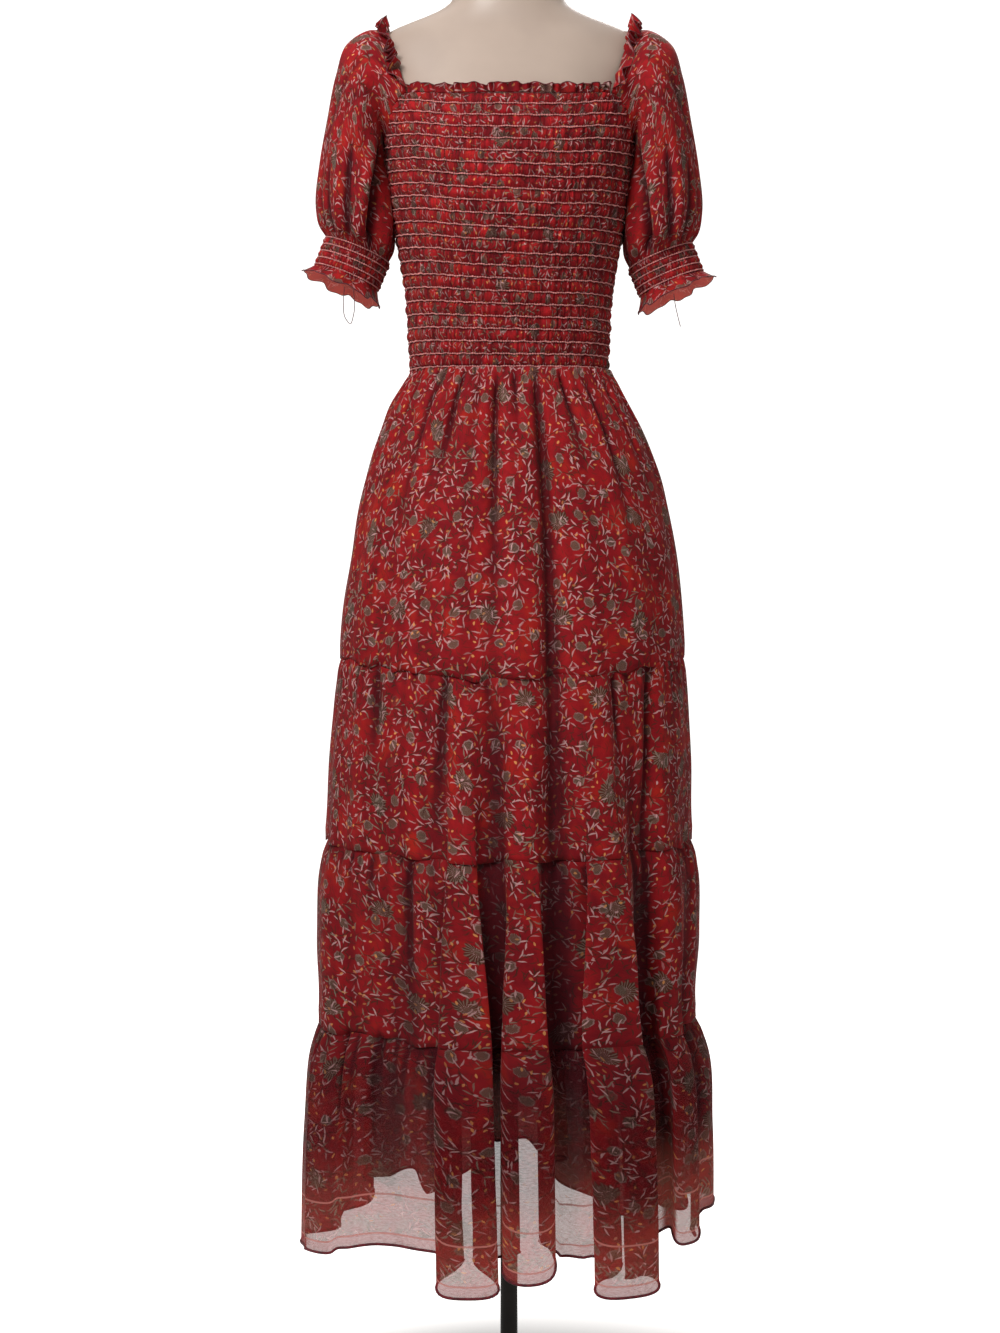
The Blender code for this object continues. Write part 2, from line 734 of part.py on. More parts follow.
def turned_ring(radius, z):
    """A level ring of points round the stand's axis."""
    ring = []
    for step in range(STAND_SEGMENTS):
        turn = 2.0 * math.pi * step / STAND_SEGMENTS
        ring.append(Vector((radius * math.cos(turn), radius * math.sin(turn), z)))
    return ring


def make_stand():
    """The round plate with its boss, and the pole up to the form."""
    edge = 0.002
    profile = [
        (BASE_RADIUS, 0.0),
        (BASE_RADIUS, BASE_THICKNESS - edge),
        (BASE_RADIUS - edge, BASE_THICKNESS),
        (BOSS_RADIUS, BASE_THICKNESS),
        (BOSS_RADIUS - edge, BASE_THICKNESS + BOSS_HEIGHT),
    ]
    make_lump("stand_base", "black_stand", [turned_ring(r, z) for r, z in profile])
    bottom = BASE_THICKNESS + BOSS_HEIGHT + SEAM_GAP
    top = FIGURE[0].z - SEAM_GAP
    make_lump("stand_pole", "black_stand", [turned_ring(POLE_RADIUS, z) for z in (bottom, top)])


def main():
    clear_scene()
    make_form()
    make_stand()
    make_bodice("bodice_front", front=True)
    make_bodice("bodice_back", front=False)
    make_neck_ruffle("neck_ruffle_front", front=True, waves=FRONT_RUFFLE_WAVES)
    make_neck_ruffle("neck_ruffle_back", front=False, waves=BACK_RUFFLE_WAVES)
    for hand, side in (("left", 1.0), ("right", -1.0)):
        make_sleeve(f"sleeve_{hand}", side)
        make_strap_ruffle(f"neck_ruffle_{hand}", side)
        make_cuff(f"cuff_{hand}", side)
        make_cuff_ruffle(f"cuff_ruffle_{hand}", side)
    for number in range(len(TIERS)):
        make_tier(number, front=True)
        make_tier(number, front=False)


main()
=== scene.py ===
"""Looks for a tiered maxi dress with a smocked bodice and puff sleeves, on its dress form and stand.

Metres, +Z up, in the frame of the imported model. The dress faces -Y, and +X is the wearer's left.
Cloth is a thin closed wall, and its UV map "flat_cloth" is the place on the flat cut piece.
"""

import math
from collections import namedtuple

import bmesh
import bpy
import numpy as np
from bpy.props import FloatProperty, FloatVectorProperty, IntProperty, PointerProperty
from bpy.types import Operator, Panel, PropertyGroup
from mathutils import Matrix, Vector


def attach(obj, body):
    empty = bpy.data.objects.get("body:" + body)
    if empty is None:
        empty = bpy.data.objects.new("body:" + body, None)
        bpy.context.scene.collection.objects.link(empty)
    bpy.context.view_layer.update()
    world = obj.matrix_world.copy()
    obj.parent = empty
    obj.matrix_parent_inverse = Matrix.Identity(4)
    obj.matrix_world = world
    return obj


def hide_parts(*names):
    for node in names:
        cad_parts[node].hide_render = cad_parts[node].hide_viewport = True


bl_info = {
    "name": "Tiered Smocked Maxi Dress",
    "version": (1, 0, 0),
    "blender": (4, 5, 0),
    "location": "View3D > Sidebar > Dress",
    "description": "Makes the cloth, sewing, form, stand and stage of a tiered maxi dress",
    "category": "Object",
}

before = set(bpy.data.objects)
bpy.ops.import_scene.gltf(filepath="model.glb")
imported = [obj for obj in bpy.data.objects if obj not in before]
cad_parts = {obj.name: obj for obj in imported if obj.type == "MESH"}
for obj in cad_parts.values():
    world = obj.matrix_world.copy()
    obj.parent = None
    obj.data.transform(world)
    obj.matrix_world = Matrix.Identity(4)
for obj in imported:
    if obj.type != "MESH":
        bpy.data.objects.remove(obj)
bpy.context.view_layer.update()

FULL_TURN = 2.0 * math.pi

# Clearances, as on the cut pieces
SEAM_GAP = 0.0003
FORM_GAP = 0.0022
WAIST_FORM_GAP = 0.0008

# Neckline and armholes, as angles from the side seam
NECK_FRONT = 1.5240
NECK_BACK = 1.5430
NECK_SAG = 0.0060
UNDERARM = 1.4800
UNDERARM_ANGLE = 12.0
CORNER_ANGLE = 42.0
STRAP_TOP_X = 0.1400
STRAP_TOP_Z = 1.6100
STRAP_CLOTH = 0.0038
SMOCK_ROWS = 22
SMOCK_STEPS = 2.0 * SMOCK_ROWS
BODICE_RADIUS = 0.13

# Sleeves and cuffs
CUFF_ROWS = 4
CUFF_STEPS = 2.0 * CUFF_ROWS
CUFF_ROUND = 0.2625
CUFF_LENGTH = 0.0330
CUFF_HALF_WIDTH = 0.0375
CUFF_HALF_DEPTH = 0.0455
CUFF_TILT = math.radians(21.7)
CUFF_TOP = (0.1775, 0.0, 1.3560)
CUFF_RUFFLE_LENGTH = 0.0170
LEFT_CUFF_DROP = 0.0070
ARMHOLE_SHARE = 0.30

# The figure that the dress is cut for: one row for each level section
Section = namedtuple("Section", "z half_width front back")
FIGURE = [
    Section(0.93, 0.128, 0.084, 0.094),
    Section(0.945, 0.146, 0.095, 0.108),
    Section(0.975, 0.158, 0.102, 0.117),
    Section(1.02, 0.162, 0.105, 0.12),
    Section(1.07, 0.153, 0.101, 0.112),
    Section(1.12, 0.136, 0.094, 0.097),
    Section(1.17, 0.119, 0.088, 0.083),
    Section(1.212, 0.112, 0.086, 0.078),
    Section(1.26, 0.1125, 0.09, 0.082),
    Section(1.3, 0.115, 0.097, 0.089),
    Section(1.345, 0.122, 0.108, 0.097),
    Section(1.39, 0.131, 0.119, 0.103),
    Section(1.44, 0.1385, 0.125, 0.106),
    Section(1.487, 0.1435, 0.117, 0.106),
    Section(1.525, 0.15, 0.1, 0.102),
    Section(1.555, 0.157, 0.084, 0.093),
    Section(1.58, 0.16, 0.071, 0.083),
    Section(1.598, 0.155, 0.062, 0.075),
    Section(1.61, 0.14, 0.056, 0.069),
    Section(1.62, 0.116, 0.053, 0.065),
    Section(1.63, 0.09, 0.0515, 0.0625),
    Section(1.64, 0.073, 0.0505, 0.061),
    Section(1.655, 0.063, 0.05, 0.06),
    Section(1.69, 0.059, 0.049, 0.059),
]
# How square the figure and the skirt are in plan, where 2 is an oval
SQUARENESS = 2.2

# The skirt's plan at each height: reach to the wearer's right, left, front and back
Plan = namedtuple("Plan", "z right left front back")
SKIRT = [
    Plan(1.213, 0.115, 0.12, 0.09, 0.082),
    Plan(1.198, 0.124, 0.128, 0.096, 0.09),
    Plan(1.175, 0.138, 0.14, 0.104, 0.101),
    Plan(1.1465, 0.1486, 0.155, 0.113, 0.114),
    Plan(1.117, 0.159, 0.167, 0.122, 0.127),
    Plan(1.088, 0.167, 0.177, 0.13, 0.137),
    Plan(1.059, 0.174, 0.1835, 0.137, 0.145),
    Plan(1.0, 0.1825, 0.1945, 0.149, 0.157),
    Plan(0.942, 0.192, 0.2005, 0.16, 0.168),
    Plan(0.88, 0.197, 0.204, 0.172, 0.179),
    Plan(0.855, 0.1985, 0.205, 0.176, 0.183),
    Plan(0.766, 0.206, 0.209, 0.188, 0.195),
    Plan(0.67, 0.212, 0.212, 0.2, 0.207),
    Plan(0.645, 0.2165, 0.217, 0.206, 0.213),
    Plan(0.56, 0.22, 0.2195, 0.213, 0.22),
    Plan(0.46, 0.2205, 0.219, 0.218, 0.224),
    Plan(0.43, 0.228, 0.229, 0.223, 0.23),
    Plan(0.34, 0.235, 0.235, 0.227, 0.236),
    Plan(0.18, 0.2385, 0.236, 0.229, 0.239),
]

# Level seams round the skirt: heights at the sides, the front and the back
Level = namedtuple("Level", "side front back")
SEAMS = [
    Level(1.215, 1.211, 1.213),
    Level(0.881, 0.856, 0.886),
    Level(0.669, 0.656, 0.685),
    Level(0.46, 0.453, 0.485),
]

# The large folds: where each runs at the waist end and at the hem, its half width and its reach
Fold = namedtuple("Fold", "upper lower half_width reach start")
FOLDS = [
    Fold(203.0, 202.0, 9.0, 0.006, 1.0),
    Fold(234.0, 236.0, 17.0, -0.024, 0.8),
    Fold(257.0, 260.5, 5.5, 0.014, 0.95),
    Fold(265.0, 268.0, 4.0, -0.022, 1.0),
    Fold(273.0, 274.0, 4.5, 0.01, 1.0),
    Fold(281.5, 284.5, 5.0, -0.024, 1.0),
    Fold(295.0, 299.0, 7.0, 0.014, 1.0),
    Fold(311.0, 313.0, 5.0, -0.022, 1.0),
    Fold(323.0, 324.0, 6.0, 0.006, 0.9),
    Fold(341.0, 340.0, 6.0, -0.014, 0.9),
    Fold(18.0, 20.0, 6.0, -0.014, 0.9),
    Fold(38.0, 36.0, 8.0, 0.008, 0.95),
    Fold(52.0, 55.0, 5.0, -0.018, 1.0),
    Fold(76.0, 74.0, 6.0, 0.01, 1.0),
    Fold(88.0, 87.0, 5.0, -0.02, 1.0),
    Fold(100.0, 104.0, 7.0, 0.01, 1.0),
    Fold(118.0, 121.0, 5.0, -0.02, 0.95),
    Fold(136.0, 138.0, 8.0, 0.01, 0.95),
    Fold(158.0, 156.0, 6.0, -0.014, 0.9),
]

# Pleats that start in the waist or in a seam: as the large folds, with a lower end too
Pleat = namedtuple("Pleat", "upper lower half_width reach start end")
PLEATS = [
    Pleat(281.0, 283.0, 2.2, -0.01, 1.208, 0.4),
    Pleat(264.5, 266.5, 2.0, -0.008, 1.208, 0.86),
    Pleat(246.5, 243.0, 1.8, -0.0075, 1.208, 1.06),
    Pleat(296.0, 299.0, 1.7, -0.006, 1.208, 1.08),
    Pleat(232.0, 226.0, 2.0, -0.0045, 1.205, 0.98),
    Pleat(311.0, 316.0, 2.0, -0.005, 1.205, 0.95),
    Pleat(272.0, 273.5, 1.6, -0.005, 1.208, 1.1),
    Pleat(215.0, 207.0, 2.2, -0.004, 1.205, 1.0),
    Pleat(327.0, 335.0, 2.2, -0.004, 1.205, 1.0),
    Pleat(320.0, 313.0, 3.0, -0.012, 0.9, 0.2),
    Pleat(303.0, 305.0, 1.8, -0.006, 0.87, 0.7),
    Pleat(251.0, 249.0, 2.0, -0.006, 0.87, 0.64),
    Pleat(222.0, 224.0, 2.0, -0.0045, 0.88, 0.74),
    Pleat(240.0, 241.0, 1.6, -0.005, 0.66, 0.5),
    Pleat(289.0, 290.0, 1.6, -0.0045, 0.66, 0.52),
    Pleat(213.0, 214.0, 2.2, -0.006, 0.47, 0.32),
    Pleat(226.0, 228.0, 1.8, -0.006, 0.47, 0.3),
    Pleat(88.0, 87.0, 2.2, -0.0095, 1.208, 0.42),
    Pleat(104.0, 107.0, 1.9, -0.007, 1.208, 0.98),
    Pleat(70.0, 66.0, 1.8, -0.0065, 1.208, 1.03),
    Pleat(120.0, 124.0, 2.0, -0.0055, 1.208, 1.0),
    Pleat(52.0, 47.0, 2.0, -0.006, 1.205, 0.94),
    Pleat(36.0, 31.0, 2.2, -0.0045, 1.205, 1.02),
    Pleat(143.0, 149.0, 2.2, -0.0045, 1.205, 0.99),
    Pleat(60.0, 57.0, 3.0, -0.01, 0.88, 0.22),
    Pleat(128.0, 124.0, 3.0, -0.011, 0.88, 0.24),
    Pleat(97.0, 96.0, 1.8, -0.006, 0.68, 0.48),
    Pleat(146.0, 148.0, 2.0, -0.006, 0.48, 0.32),
    Pleat(40.0, 38.0, 2.0, -0.006, 0.48, 0.3),
]

# Folds so full that the cloth turns back under itself: their length along the cloth in degrees,
# how far the cloth is carried sideways as a share of that, and where they start
Tube = namedtuple("Tube", "upper lower length carry start")
TUBES = [
    Tube(257.0, 260.8, 8.2, 0.62, 0.8),
    Tube(273.0, 274.5, 8.0, 0.44, 0.76),
    Tube(295.0, 299.0, 9.8, 0.7, 0.84),
    Tube(324.0, 323.0, 9.5, 0.34, 0.7),
    Tube(206.0, 208.0, 13.0, 0.14, 0.64),
    Tube(38.0, 37.0, 10.0, 0.42, 0.76),
    Tube(74.0, 71.0, 10.5, 0.46, 0.8),
    Tube(101.0, 103.0, 9.5, 0.46, 0.78),
    Tube(137.0, 138.0, 11.0, 0.46, 0.76),
]

# Places where the cloth above a seam hangs over it: number of the seam, angle, half width, strength
# The strength also sets the painted shadow on the tier below the seam
Overhang = namedtuple("Overhang", "seam angle half_width strength")
OVERHANGS = [
    Overhang(1, 219.5, 1.3, 0.7),
    Overhang(1, 231.0, 1.2, 0.7),
    Overhang(1, 239.8, 1.2, 0.6),
    Overhang(1, 260.9, 2.2, 0.7),
    Overhang(1, 307.3, 1.5, 0.8),
    Overhang(1, 319.8, 2.8, 0.9),
    Overhang(2, 202.0, 6.0, 0.5),
    Overhang(2, 240.5, 7.0, 0.4),
    Overhang(2, 263.9, 3.8, 1.0),
    Overhang(2, 279.9, 3.4, 0.9),
    Overhang(2, 338.0, 5.0, 0.6),
    Overhang(3, 242.5, 5.0, 0.5),
    Overhang(3, 265.2, 3.2, 0.8),
    Overhang(3, 281.3, 4.2, 1.0),
    Overhang(3, 304.7, 2.6, 0.7),
    Overhang(3, 340.0, 5.0, 0.5),
    Overhang(1, 55.0, 1.6, 0.7),
    Overhang(1, 84.0, 2.4, 0.8),
    Overhang(1, 118.0, 1.8, 0.7),
    Overhang(2, 30.0, 5.0, 0.5),
    Overhang(2, 72.0, 3.6, 0.9),
    Overhang(2, 108.0, 4.0, 0.8),
    Overhang(2, 148.0, 5.0, 0.5),
    Overhang(3, 47.0, 4.0, 0.6),
    Overhang(3, 90.0, 4.0, 0.9),
    Overhang(3, 127.0, 3.6, 0.8),
]

# The hem's height round the skirt
Hem = namedtuple("Hem", "angle z")
HEM = [
    Hem(0.0, 0.25),
    Hem(14.0, 0.243),
    Hem(32.0, 0.205),
    Hem(53.0, 0.19),
    Hem(66.0, 0.193),
    Hem(76.0, 0.222),
    Hem(86.0, 0.28),
    Hem(95.0, 0.27),
    Hem(109.0, 0.196),
    Hem(122.0, 0.248),
    Hem(136.0, 0.2),
    Hem(160.0, 0.192),
    Hem(180.0, 0.202),
    Hem(205.0, 0.211),
    Hem(230.0, 0.23),
    Hem(252.0, 0.232),
    Hem(257.5, 0.188),
    Hem(264.0, 0.19),
    Hem(268.0, 0.214),
    Hem(274.0, 0.203),
    Hem(280.0, 0.226),
    Hem(289.0, 0.226),
    Hem(294.0, 0.186),
    Hem(306.0, 0.185),
    Hem(312.0, 0.23),
    Hem(337.0, 0.228),
    Hem(345.0, 0.25),
    Hem(360.0, 0.25),
]

# The sleeve's rings below the armhole, seen from the front: outer and inner edge, and half depth
Ring = namedtuple("Ring", "x_out z_out x_in z_in half_depth")
SLEEVE = [
    Ring(0.166, 1.612, 0.1455, 1.477, 0.07),
    Ring(0.19, 1.596, 0.1435, 1.462, 0.076),
    Ring(0.203, 1.56, 0.142, 1.444, 0.078),
    Ring(0.213, 1.509, 0.1405, 1.424, 0.078),
    Ring(0.222, 1.457, 0.137, 1.403, 0.076),
    Ring(0.2265, 1.408, 0.133, 1.376, 0.072),
    Ring(0.2225, 1.384, 0.1345, 1.355, 0.063),
]

# Creases in the sleeves: turn round the sleeve at their upper and lower end, in degrees from the
# inner edge over the front, half width in degrees, reach, and where they run, from 0 to 1
Crease = namedtuple("Crease", "upper lower half_width reach start end")
SLEEVE_CREASES = [
    Crease(30.0, 66.0, 7.5, -0.017, 0.14, 1.0),
    Crease(48.0, 84.0, 9.0, 0.007, 0.18, 0.96),
    Crease(16.0, 36.0, 9.0, 0.006, 0.2, 0.96),
    Crease(92.0, 100.0, 6.0, -0.005, 0.38, 1.0),
    Crease(112.0, 114.0, 9.0, 0.004, 0.45, 0.97),
    Crease(138.0, 130.0, 6.0, -0.0045, 0.5, 1.0),
    Crease(104.0, 150.0, 7.0, -0.0032, 0.08, 0.55),
    Crease(62.0, 120.0, 8.0, -0.0026, 0.06, 0.42),
    Crease(200.0, 205.0, 9.0, -0.004, 0.3, 1.0),
    Crease(232.0, 226.0, 10.0, 0.0035, 0.2, 0.9),
    Crease(262.0, 250.0, 8.0, -0.005, 0.35, 1.0),
    Crease(318.0, 300.0, 12.0, -0.01, 0.18, 1.0),
]

# The flat cut of each piece: width and length
Cut = namedtuple("Cut", "width length")
CUTS = {
    "bodice_front": Cut(0.5, 0.345),
    "bodice_back": Cut(0.49, 0.345),
    "neck_ruffle_front": Cut(0.3, 0.012),
    "neck_ruffle_back": Cut(0.3, 0.012),
    "neck_ruffle_left": Cut(0.3, 0.016),
    "neck_ruffle_right": Cut(0.3, 0.016),
    "sleeve_left": Cut(0.48, 0.23),
    "sleeve_right": Cut(0.48, 0.23),
    "cuff_left": Cut(0.34, 0.036),
    "cuff_right": Cut(0.34, 0.036),
    "cuff_ruffle_left": Cut(0.38, 0.019),
    "cuff_ruffle_right": Cut(0.38, 0.019),
    "skirt_tier_1_front": Cut(0.6, 0.36),
    "skirt_tier_1_back": Cut(0.6, 0.34),
    "skirt_tier_2_front": Cut(0.7, 0.205),
    "skirt_tier_2_back": Cut(0.7, 0.205),
    "skirt_tier_3_front": Cut(0.78, 0.205),
    "skirt_tier_3_back": Cut(0.78, 0.205),
    "skirt_tier_4_front": Cut(0.86, 0.25),
    "skirt_tier_4_back": Cut(0.86, 0.265),
}

# How far each tier stands out below its gathered edge, and the painted shade laid on all of it, darker on
# the lower tiers
TIER_POPS = (0.0010, 0.0022, 0.0022, 0.0022)
TIER_PAINTED_SHADES = (0.0, 0.03, 0.16, 0.46)
# How far the cloth above a seam comes out and down where it hangs over, and how far a full fold
# lifts the hem
OVERHANG_OUT = 0.0045
OVERHANG_DROP = 0.0030
TUBE_LIFT = 0.022

# Points inside the bodice and the skirt, by which the outer face of the cloth is told
BODICE_CENTRE = np.array([0.0, 0.0, 1.36])
SKIRT_CENTRE = np.array([0.0, 0.0, 0.7])

# Grid steps over the cloth
BODICE_COLUMNS = 230
BODICE_STEPS = 5
TIER_COLUMNS = 280
TIER_ROW = 0.0070
SLEEVE_COLUMNS = 132
SLEEVE_LINES = 84
CUFF_COLUMNS = 160
RUFFLE_LINES = 7
THREAD_POINTS = 150
CUFF_THREAD_POINTS = 96
FORM_COLUMNS = 96
FORM_LINES = 130


class ChiffonSettings(PropertyGroup):
    """The printed chiffon of every cut piece."""

    wall: FloatProperty(name="Cloth thickness", default=0.0005, unit="LENGTH",
                        description="Distance between the two faces of the cloth")
    cover: FloatProperty(name="Cover", default=0.58, subtype="FACTOR",
                         description="How much of the light one face of the front hem tier stops")
    back_cover: FloatProperty(name="Back cover", default=0.87, subtype="FACTOR",
                              description="The same in the back hem tier")
    under_cover: FloatProperty(name="Doubled cover", default=0.93, subtype="FACTOR",
                               description="The same where the hem is turned under itself")
    ground: FloatVectorProperty(name="Ground", default=(0.360, 0.010, 0.013), subtype="COLOR",
                                description="Main red of the print")
    deep: FloatVectorProperty(name="Deep ground", default=(0.120, 0.004, 0.010), subtype="COLOR",
                              description="Darker red that clouds the ground")
    glow: FloatVectorProperty(name="Warm ground", default=(0.460, 0.022, 0.008), subtype="COLOR",
                              description="Orange red that shows in patches")
    leaf: FloatVectorProperty(name="Leaf", default=(0.600, 0.340, 0.330), subtype="COLOR",
                              description="Slim leaf strokes")
    dash: FloatVectorProperty(name="Dash", default=(0.740, 0.300, 0.100), subtype="COLOR",
                              description="Small dashes and dots")
    bud: FloatVectorProperty(name="Bud", default=(0.250, 0.190, 0.140), subtype="COLOR",
                             description="Round buds and fan flowers")
    stem: FloatVectorProperty(name="Stem", default=(0.050, 0.022, 0.012), subtype="COLOR",
                              description="Thin stems")


class SmockSettings(PropertyGroup):
    """Shirring of the bodice and the sleeve bands."""

    base: FloatProperty(name="Base", default=0.0011, unit="LENGTH",
                        description="Height of the cloth at a row of thread")
    puff: FloatProperty(name="Puff", default=0.0044, unit="LENGTH",
                        description="Height of the cloth between two rows")
    pucker: FloatProperty(name="Pucker width", default=0.0098, unit="LENGTH",
                          description="Usual distance between two puckers")
    arch: FloatProperty(name="Row arch", default=0.022, unit="LENGTH",
                        description="How much the upper rows rise towards the sides")
    tilt: FloatProperty(name="Row tilt", default=-0.050,
                        description="Slope of the rows across the bodice")
    # Strength of the painted shade in the hollows between the puffs
    shade: FloatProperty(name="Pucker shade", default=0.74, subtype="FACTOR",
                         description="How dark the hollows between the puffs are")
    thread: FloatProperty(name="Thread radius", default=0.00095, unit="LENGTH",
                          description="Radius of one stitch of shirring thread")
    stitch: FloatProperty(name="Stitch length", default=0.0030, unit="LENGTH",
                          description="Distance from stitch to stitch")
    thread_colour: FloatVectorProperty(name="Thread", default=(0.780, 0.280, 0.260),
                                       subtype="COLOR", description="Colour of the thread")


class SkirtSettings(PropertyGroup):
    """Gathers, seams and hems."""

    pleats: IntProperty(name="Gathers", default=44, description="Gathers across each panel")
    depth: FloatProperty(name="Gather depth", default=0.0048, unit="LENGTH",
                         description="Depth of a usual gather")
    tuck: FloatProperty(name="Seam allowance", default=0.002, unit="LENGTH",
                        description="Top of a tier that is hidden behind the tier above")
    groove: FloatProperty(name="Seam groove", default=0.0003, unit="LENGTH",
                          description="How deep the cloth is drawn in at a seam between tiers")
    roll: FloatProperty(name="Rolled hem", default=0.0016, unit="LENGTH",
                        description="Radius of the rolled hem")
    frill_roll: FloatProperty(name="Rolled frill edge", default=0.0007, unit="LENGTH",
                              description="Radius of the rolled edge of the frills")


class StageSettings(PropertyGroup):
    """Camera, lights and floor."""

    distance: FloatProperty(name="Camera distance", default=3.0, unit="LENGTH",
                            description="From the middle of the dress")
    eye: FloatProperty(name="Camera height", default=0.870, unit="LENGTH",
                       description="Height of the level camera")
    aside: FloatProperty(name="Camera aside", default=-0.0105, unit="LENGTH",
                         description="Camera's place along X")
    frame_height: FloatProperty(name="Framed height", default=1.5596, unit="LENGTH",
                                description="Height that the image spans at the dress")
    white: FloatProperty(name="Background", default=1.25, description="Brightness behind the dress")
    room: FloatProperty(name="Room light", default=0.21, description="Even light all round")
    key: FloatProperty(name="Key light", default=46.0, unit="POWER",
                       description="Large soft light from the front")
    fill: FloatProperty(name="Fill light", default=9.0, unit="POWER",
                        description="Large soft light from the other side")
    back: FloatProperty(name="Back light", default=30.0, unit="POWER",
                        description="Soft light on the back of the dress")
    top: FloatProperty(name="Top light", default=12.0, unit="POWER",
                       description="Soft light from above")


def smooth_rise(value):
    """0 below 0, 1 above 1, and a soft rise between."""
    held = np.clip(value, 0.0, 1.0)
    return held * held * (3.0 - 2.0 * held)


def between(low, high, share):
    """The value or point at a share of the way from low to high."""
    return low + (high - low) * share


def off_from(angle, middle):
    """Degrees from a middle angle, from -180 to 180."""
    return (angle - middle + 180.0) % 360.0 - 180.0


def face_word(front):
    """The word for the front or the back of the dress."""
    return "front" if front else "back"


def hand_word(side):
    """The word for the wearer's left or right."""
    return "left" if side > 0.0 else "right"


def soft_curve(knots, values, at):
    """Values on a soft curve through knots; values may have more axes after the first."""
    knots = np.asarray(knots, float)
    values = np.asarray(values, float)
    slopes = np.gradient(values, knots, axis=0)
    held = np.clip(at, knots[0], knots[-1])
    step = np.clip(np.searchsorted(knots, held, side="right") - 1, 0, len(knots) - 2)
    span = knots[step + 1] - knots[step]
    share = (held - knots[step]) / span
    more = values.ndim - 1
    span = span.reshape(span.shape + (1,) * more)
    share = share.reshape(share.shape + (1,) * more)
    cube = share ** 3
    square = share ** 2
    return (
        (2.0 * cube - 3.0 * square + 1.0) * values[step]
        + (cube - 2.0 * square + share) * span * slopes[step]
        + (3.0 * square - 2.0 * cube) * values[step + 1]
        + (cube - square) * span * slopes[step + 1]
    )


def read_column(table, column, z):
    """A column of a table of sections at heights."""
    rows = sorted(table, key=lambda row: row.z)
    z = np.asarray(z, float)
    return soft_curve([row.z for row in rows], [getattr(row, column) for row in rows], z)


def plan_direction(angle):
    """Shares of the half width and of the depth at angles in degrees from +X."""
    cosine = np.cos(np.radians(angle))
    sine = np.sin(np.radians(angle))
    power = 2.0 / SQUARENESS
    return np.sign(cosine) * np.abs(cosine) ** power, np.sign(sine) * np.abs(sine) ** power


def stacked(x, y, z):
    """Points from their three coordinates."""
    return np.stack(np.broadcast_arrays(x, y, z), axis=-1).astype(float)


def figure_point(angle, z, away=0.0):
    """Points on the figure at angles, moved out level by away."""
    across, along = plan_direction(angle)
    half_width = read_column(FIGURE, "half_width", z)
    depth = np.where(along > 0.0, read_column(FIGURE, "back", z), read_column(FIGURE, "front", z))
    turn = np.radians(angle)
    return stacked(half_width * across + away * np.cos(turn), depth * along + away * np.sin(turn), z)


def figure_normal(angle, z):
    """The figure's unit normals, pointing out."""
    step = 0.5
    rise = 0.004
    round_way = figure_point(angle + step, z) - figure_point(angle - step, z)
    up_way = figure_point(angle, z + rise) - figure_point(angle, z - rise)
    return unit(np.cross(round_way, up_way))


def unit(vectors):
    """Vectors at length one."""
    return vectors / np.maximum(np.linalg.norm(vectors, axis=-1, keepdims=True), 1e-12)


def neck_edge(angle):
    """Height of the neckline, which sags a little in the middle of the front."""
    turn = np.sin(np.radians(angle))
    sag = NECK_SAG * smooth_rise((-turn - 0.70) / 0.28)
    return np.where(turn > 0.0, NECK_BACK, NECK_FRONT) - sag


def bodice_top(angle):
    """Height of the bodice's upper edge: armhole, then up the raglan seam to the neckline."""
    side = np.minimum(angle % 180.0, 180.0 - angle % 180.0)
    share = (side - UNDERARM_ANGLE) / (CORNER_ANGLE - UNDERARM_ANGLE)
    return between(UNDERARM, neck_edge(angle), smooth_rise(share))


def seam_height(number, angle):
    """Height of the waist seam or of one of the seams between tiers."""
    level = SEAMS[number]
    sine = np.sin(np.radians(angle))
    sway = 0.0012 * np.sin(np.radians(angle * 9.0 + 70.0 * number))
    sway = sway + 0.0011 * np.sin(np.radians(angle * 23.0 + 40.0 * number))
    height = between(level.side, np.where(sine > 0.0, level.back, level.front), sine * sine)
    return height + (sway if number else 0.0)


def hem_height(angle):
    """Height of the hem, soft between the rows of its table."""
    turned = np.mod(angle, 360.0)
    knots = np.array([row.angle for row in HEM])
    heights = np.array([row.z for row in HEM])
    step = np.clip(np.searchsorted(knots, turned, side="left") - 1, 0, len(knots) - 2)
    share = (turned - knots[step]) / (knots[step + 1] - knots[step])
    return between(heights[step], heights[step + 1], smooth_rise(share))


def fold_reach(angle, z):
    """How far the large folds carry the skirt out or in."""
    lowest = SKIRT[-1].z
    total = np.zeros(np.broadcast(angle, z).shape)
    for fold in FOLDS:
        share = np.clip((fold.start - z) / (fold.start - lowest), 0.0, 1.2)
        off = off_from(angle, between(fold.upper, fold.lower, share))
        total += fold.reach * smooth_rise(share * 1.25) * np.exp(-((off / fold.half_width) ** 2))
    return total


def pleat_reach(angle, z):
    """How far the pleats draw the skirt in."""
    total = np.zeros(np.broadcast(angle, z).shape)
    for pleat in PLEATS:
        share = (pleat.start - z) / (pleat.start - pleat.end)
        along = np.clip(share, 0.0, 1.0)
        off = off_from(angle, between(pleat.upper, pleat.lower, along))
        window = smooth_rise(share * 9.0) * smooth_rise((1.0 - share) * 1.4)
        half_width = pleat.half_width * (0.85 + 0.9 * along)
        total += pleat.reach * window * np.exp(-np.abs(off / half_width) ** 1.5)
    return total


def tube_place(tube, angle, z):
    """The share of a full fold above a height, and the way from its middle in lengths of the fold."""
    share = (tube.start - z) / (tube.start - SKIRT[-1].z)
    middle = between(tube.upper, tube.lower, np.clip(share, 0.0, 1.0))
    return share, off_from(angle, middle) / tube.length


def tube_turn(angle, z):
    """How far round the skirt its fullest folds carry the cloth, in degrees."""
    total = np.zeros(np.broadcast(angle, z).shape)
    for tube in TUBES:
        share, off = tube_place(tube, angle, z)
        window = smooth_rise((1.05 - np.abs(off)) / 0.35) * smooth_rise(share * 1.6)
        total += tube.carry * tube.length * window * np.sin(FULL_TURN * off)
    return total


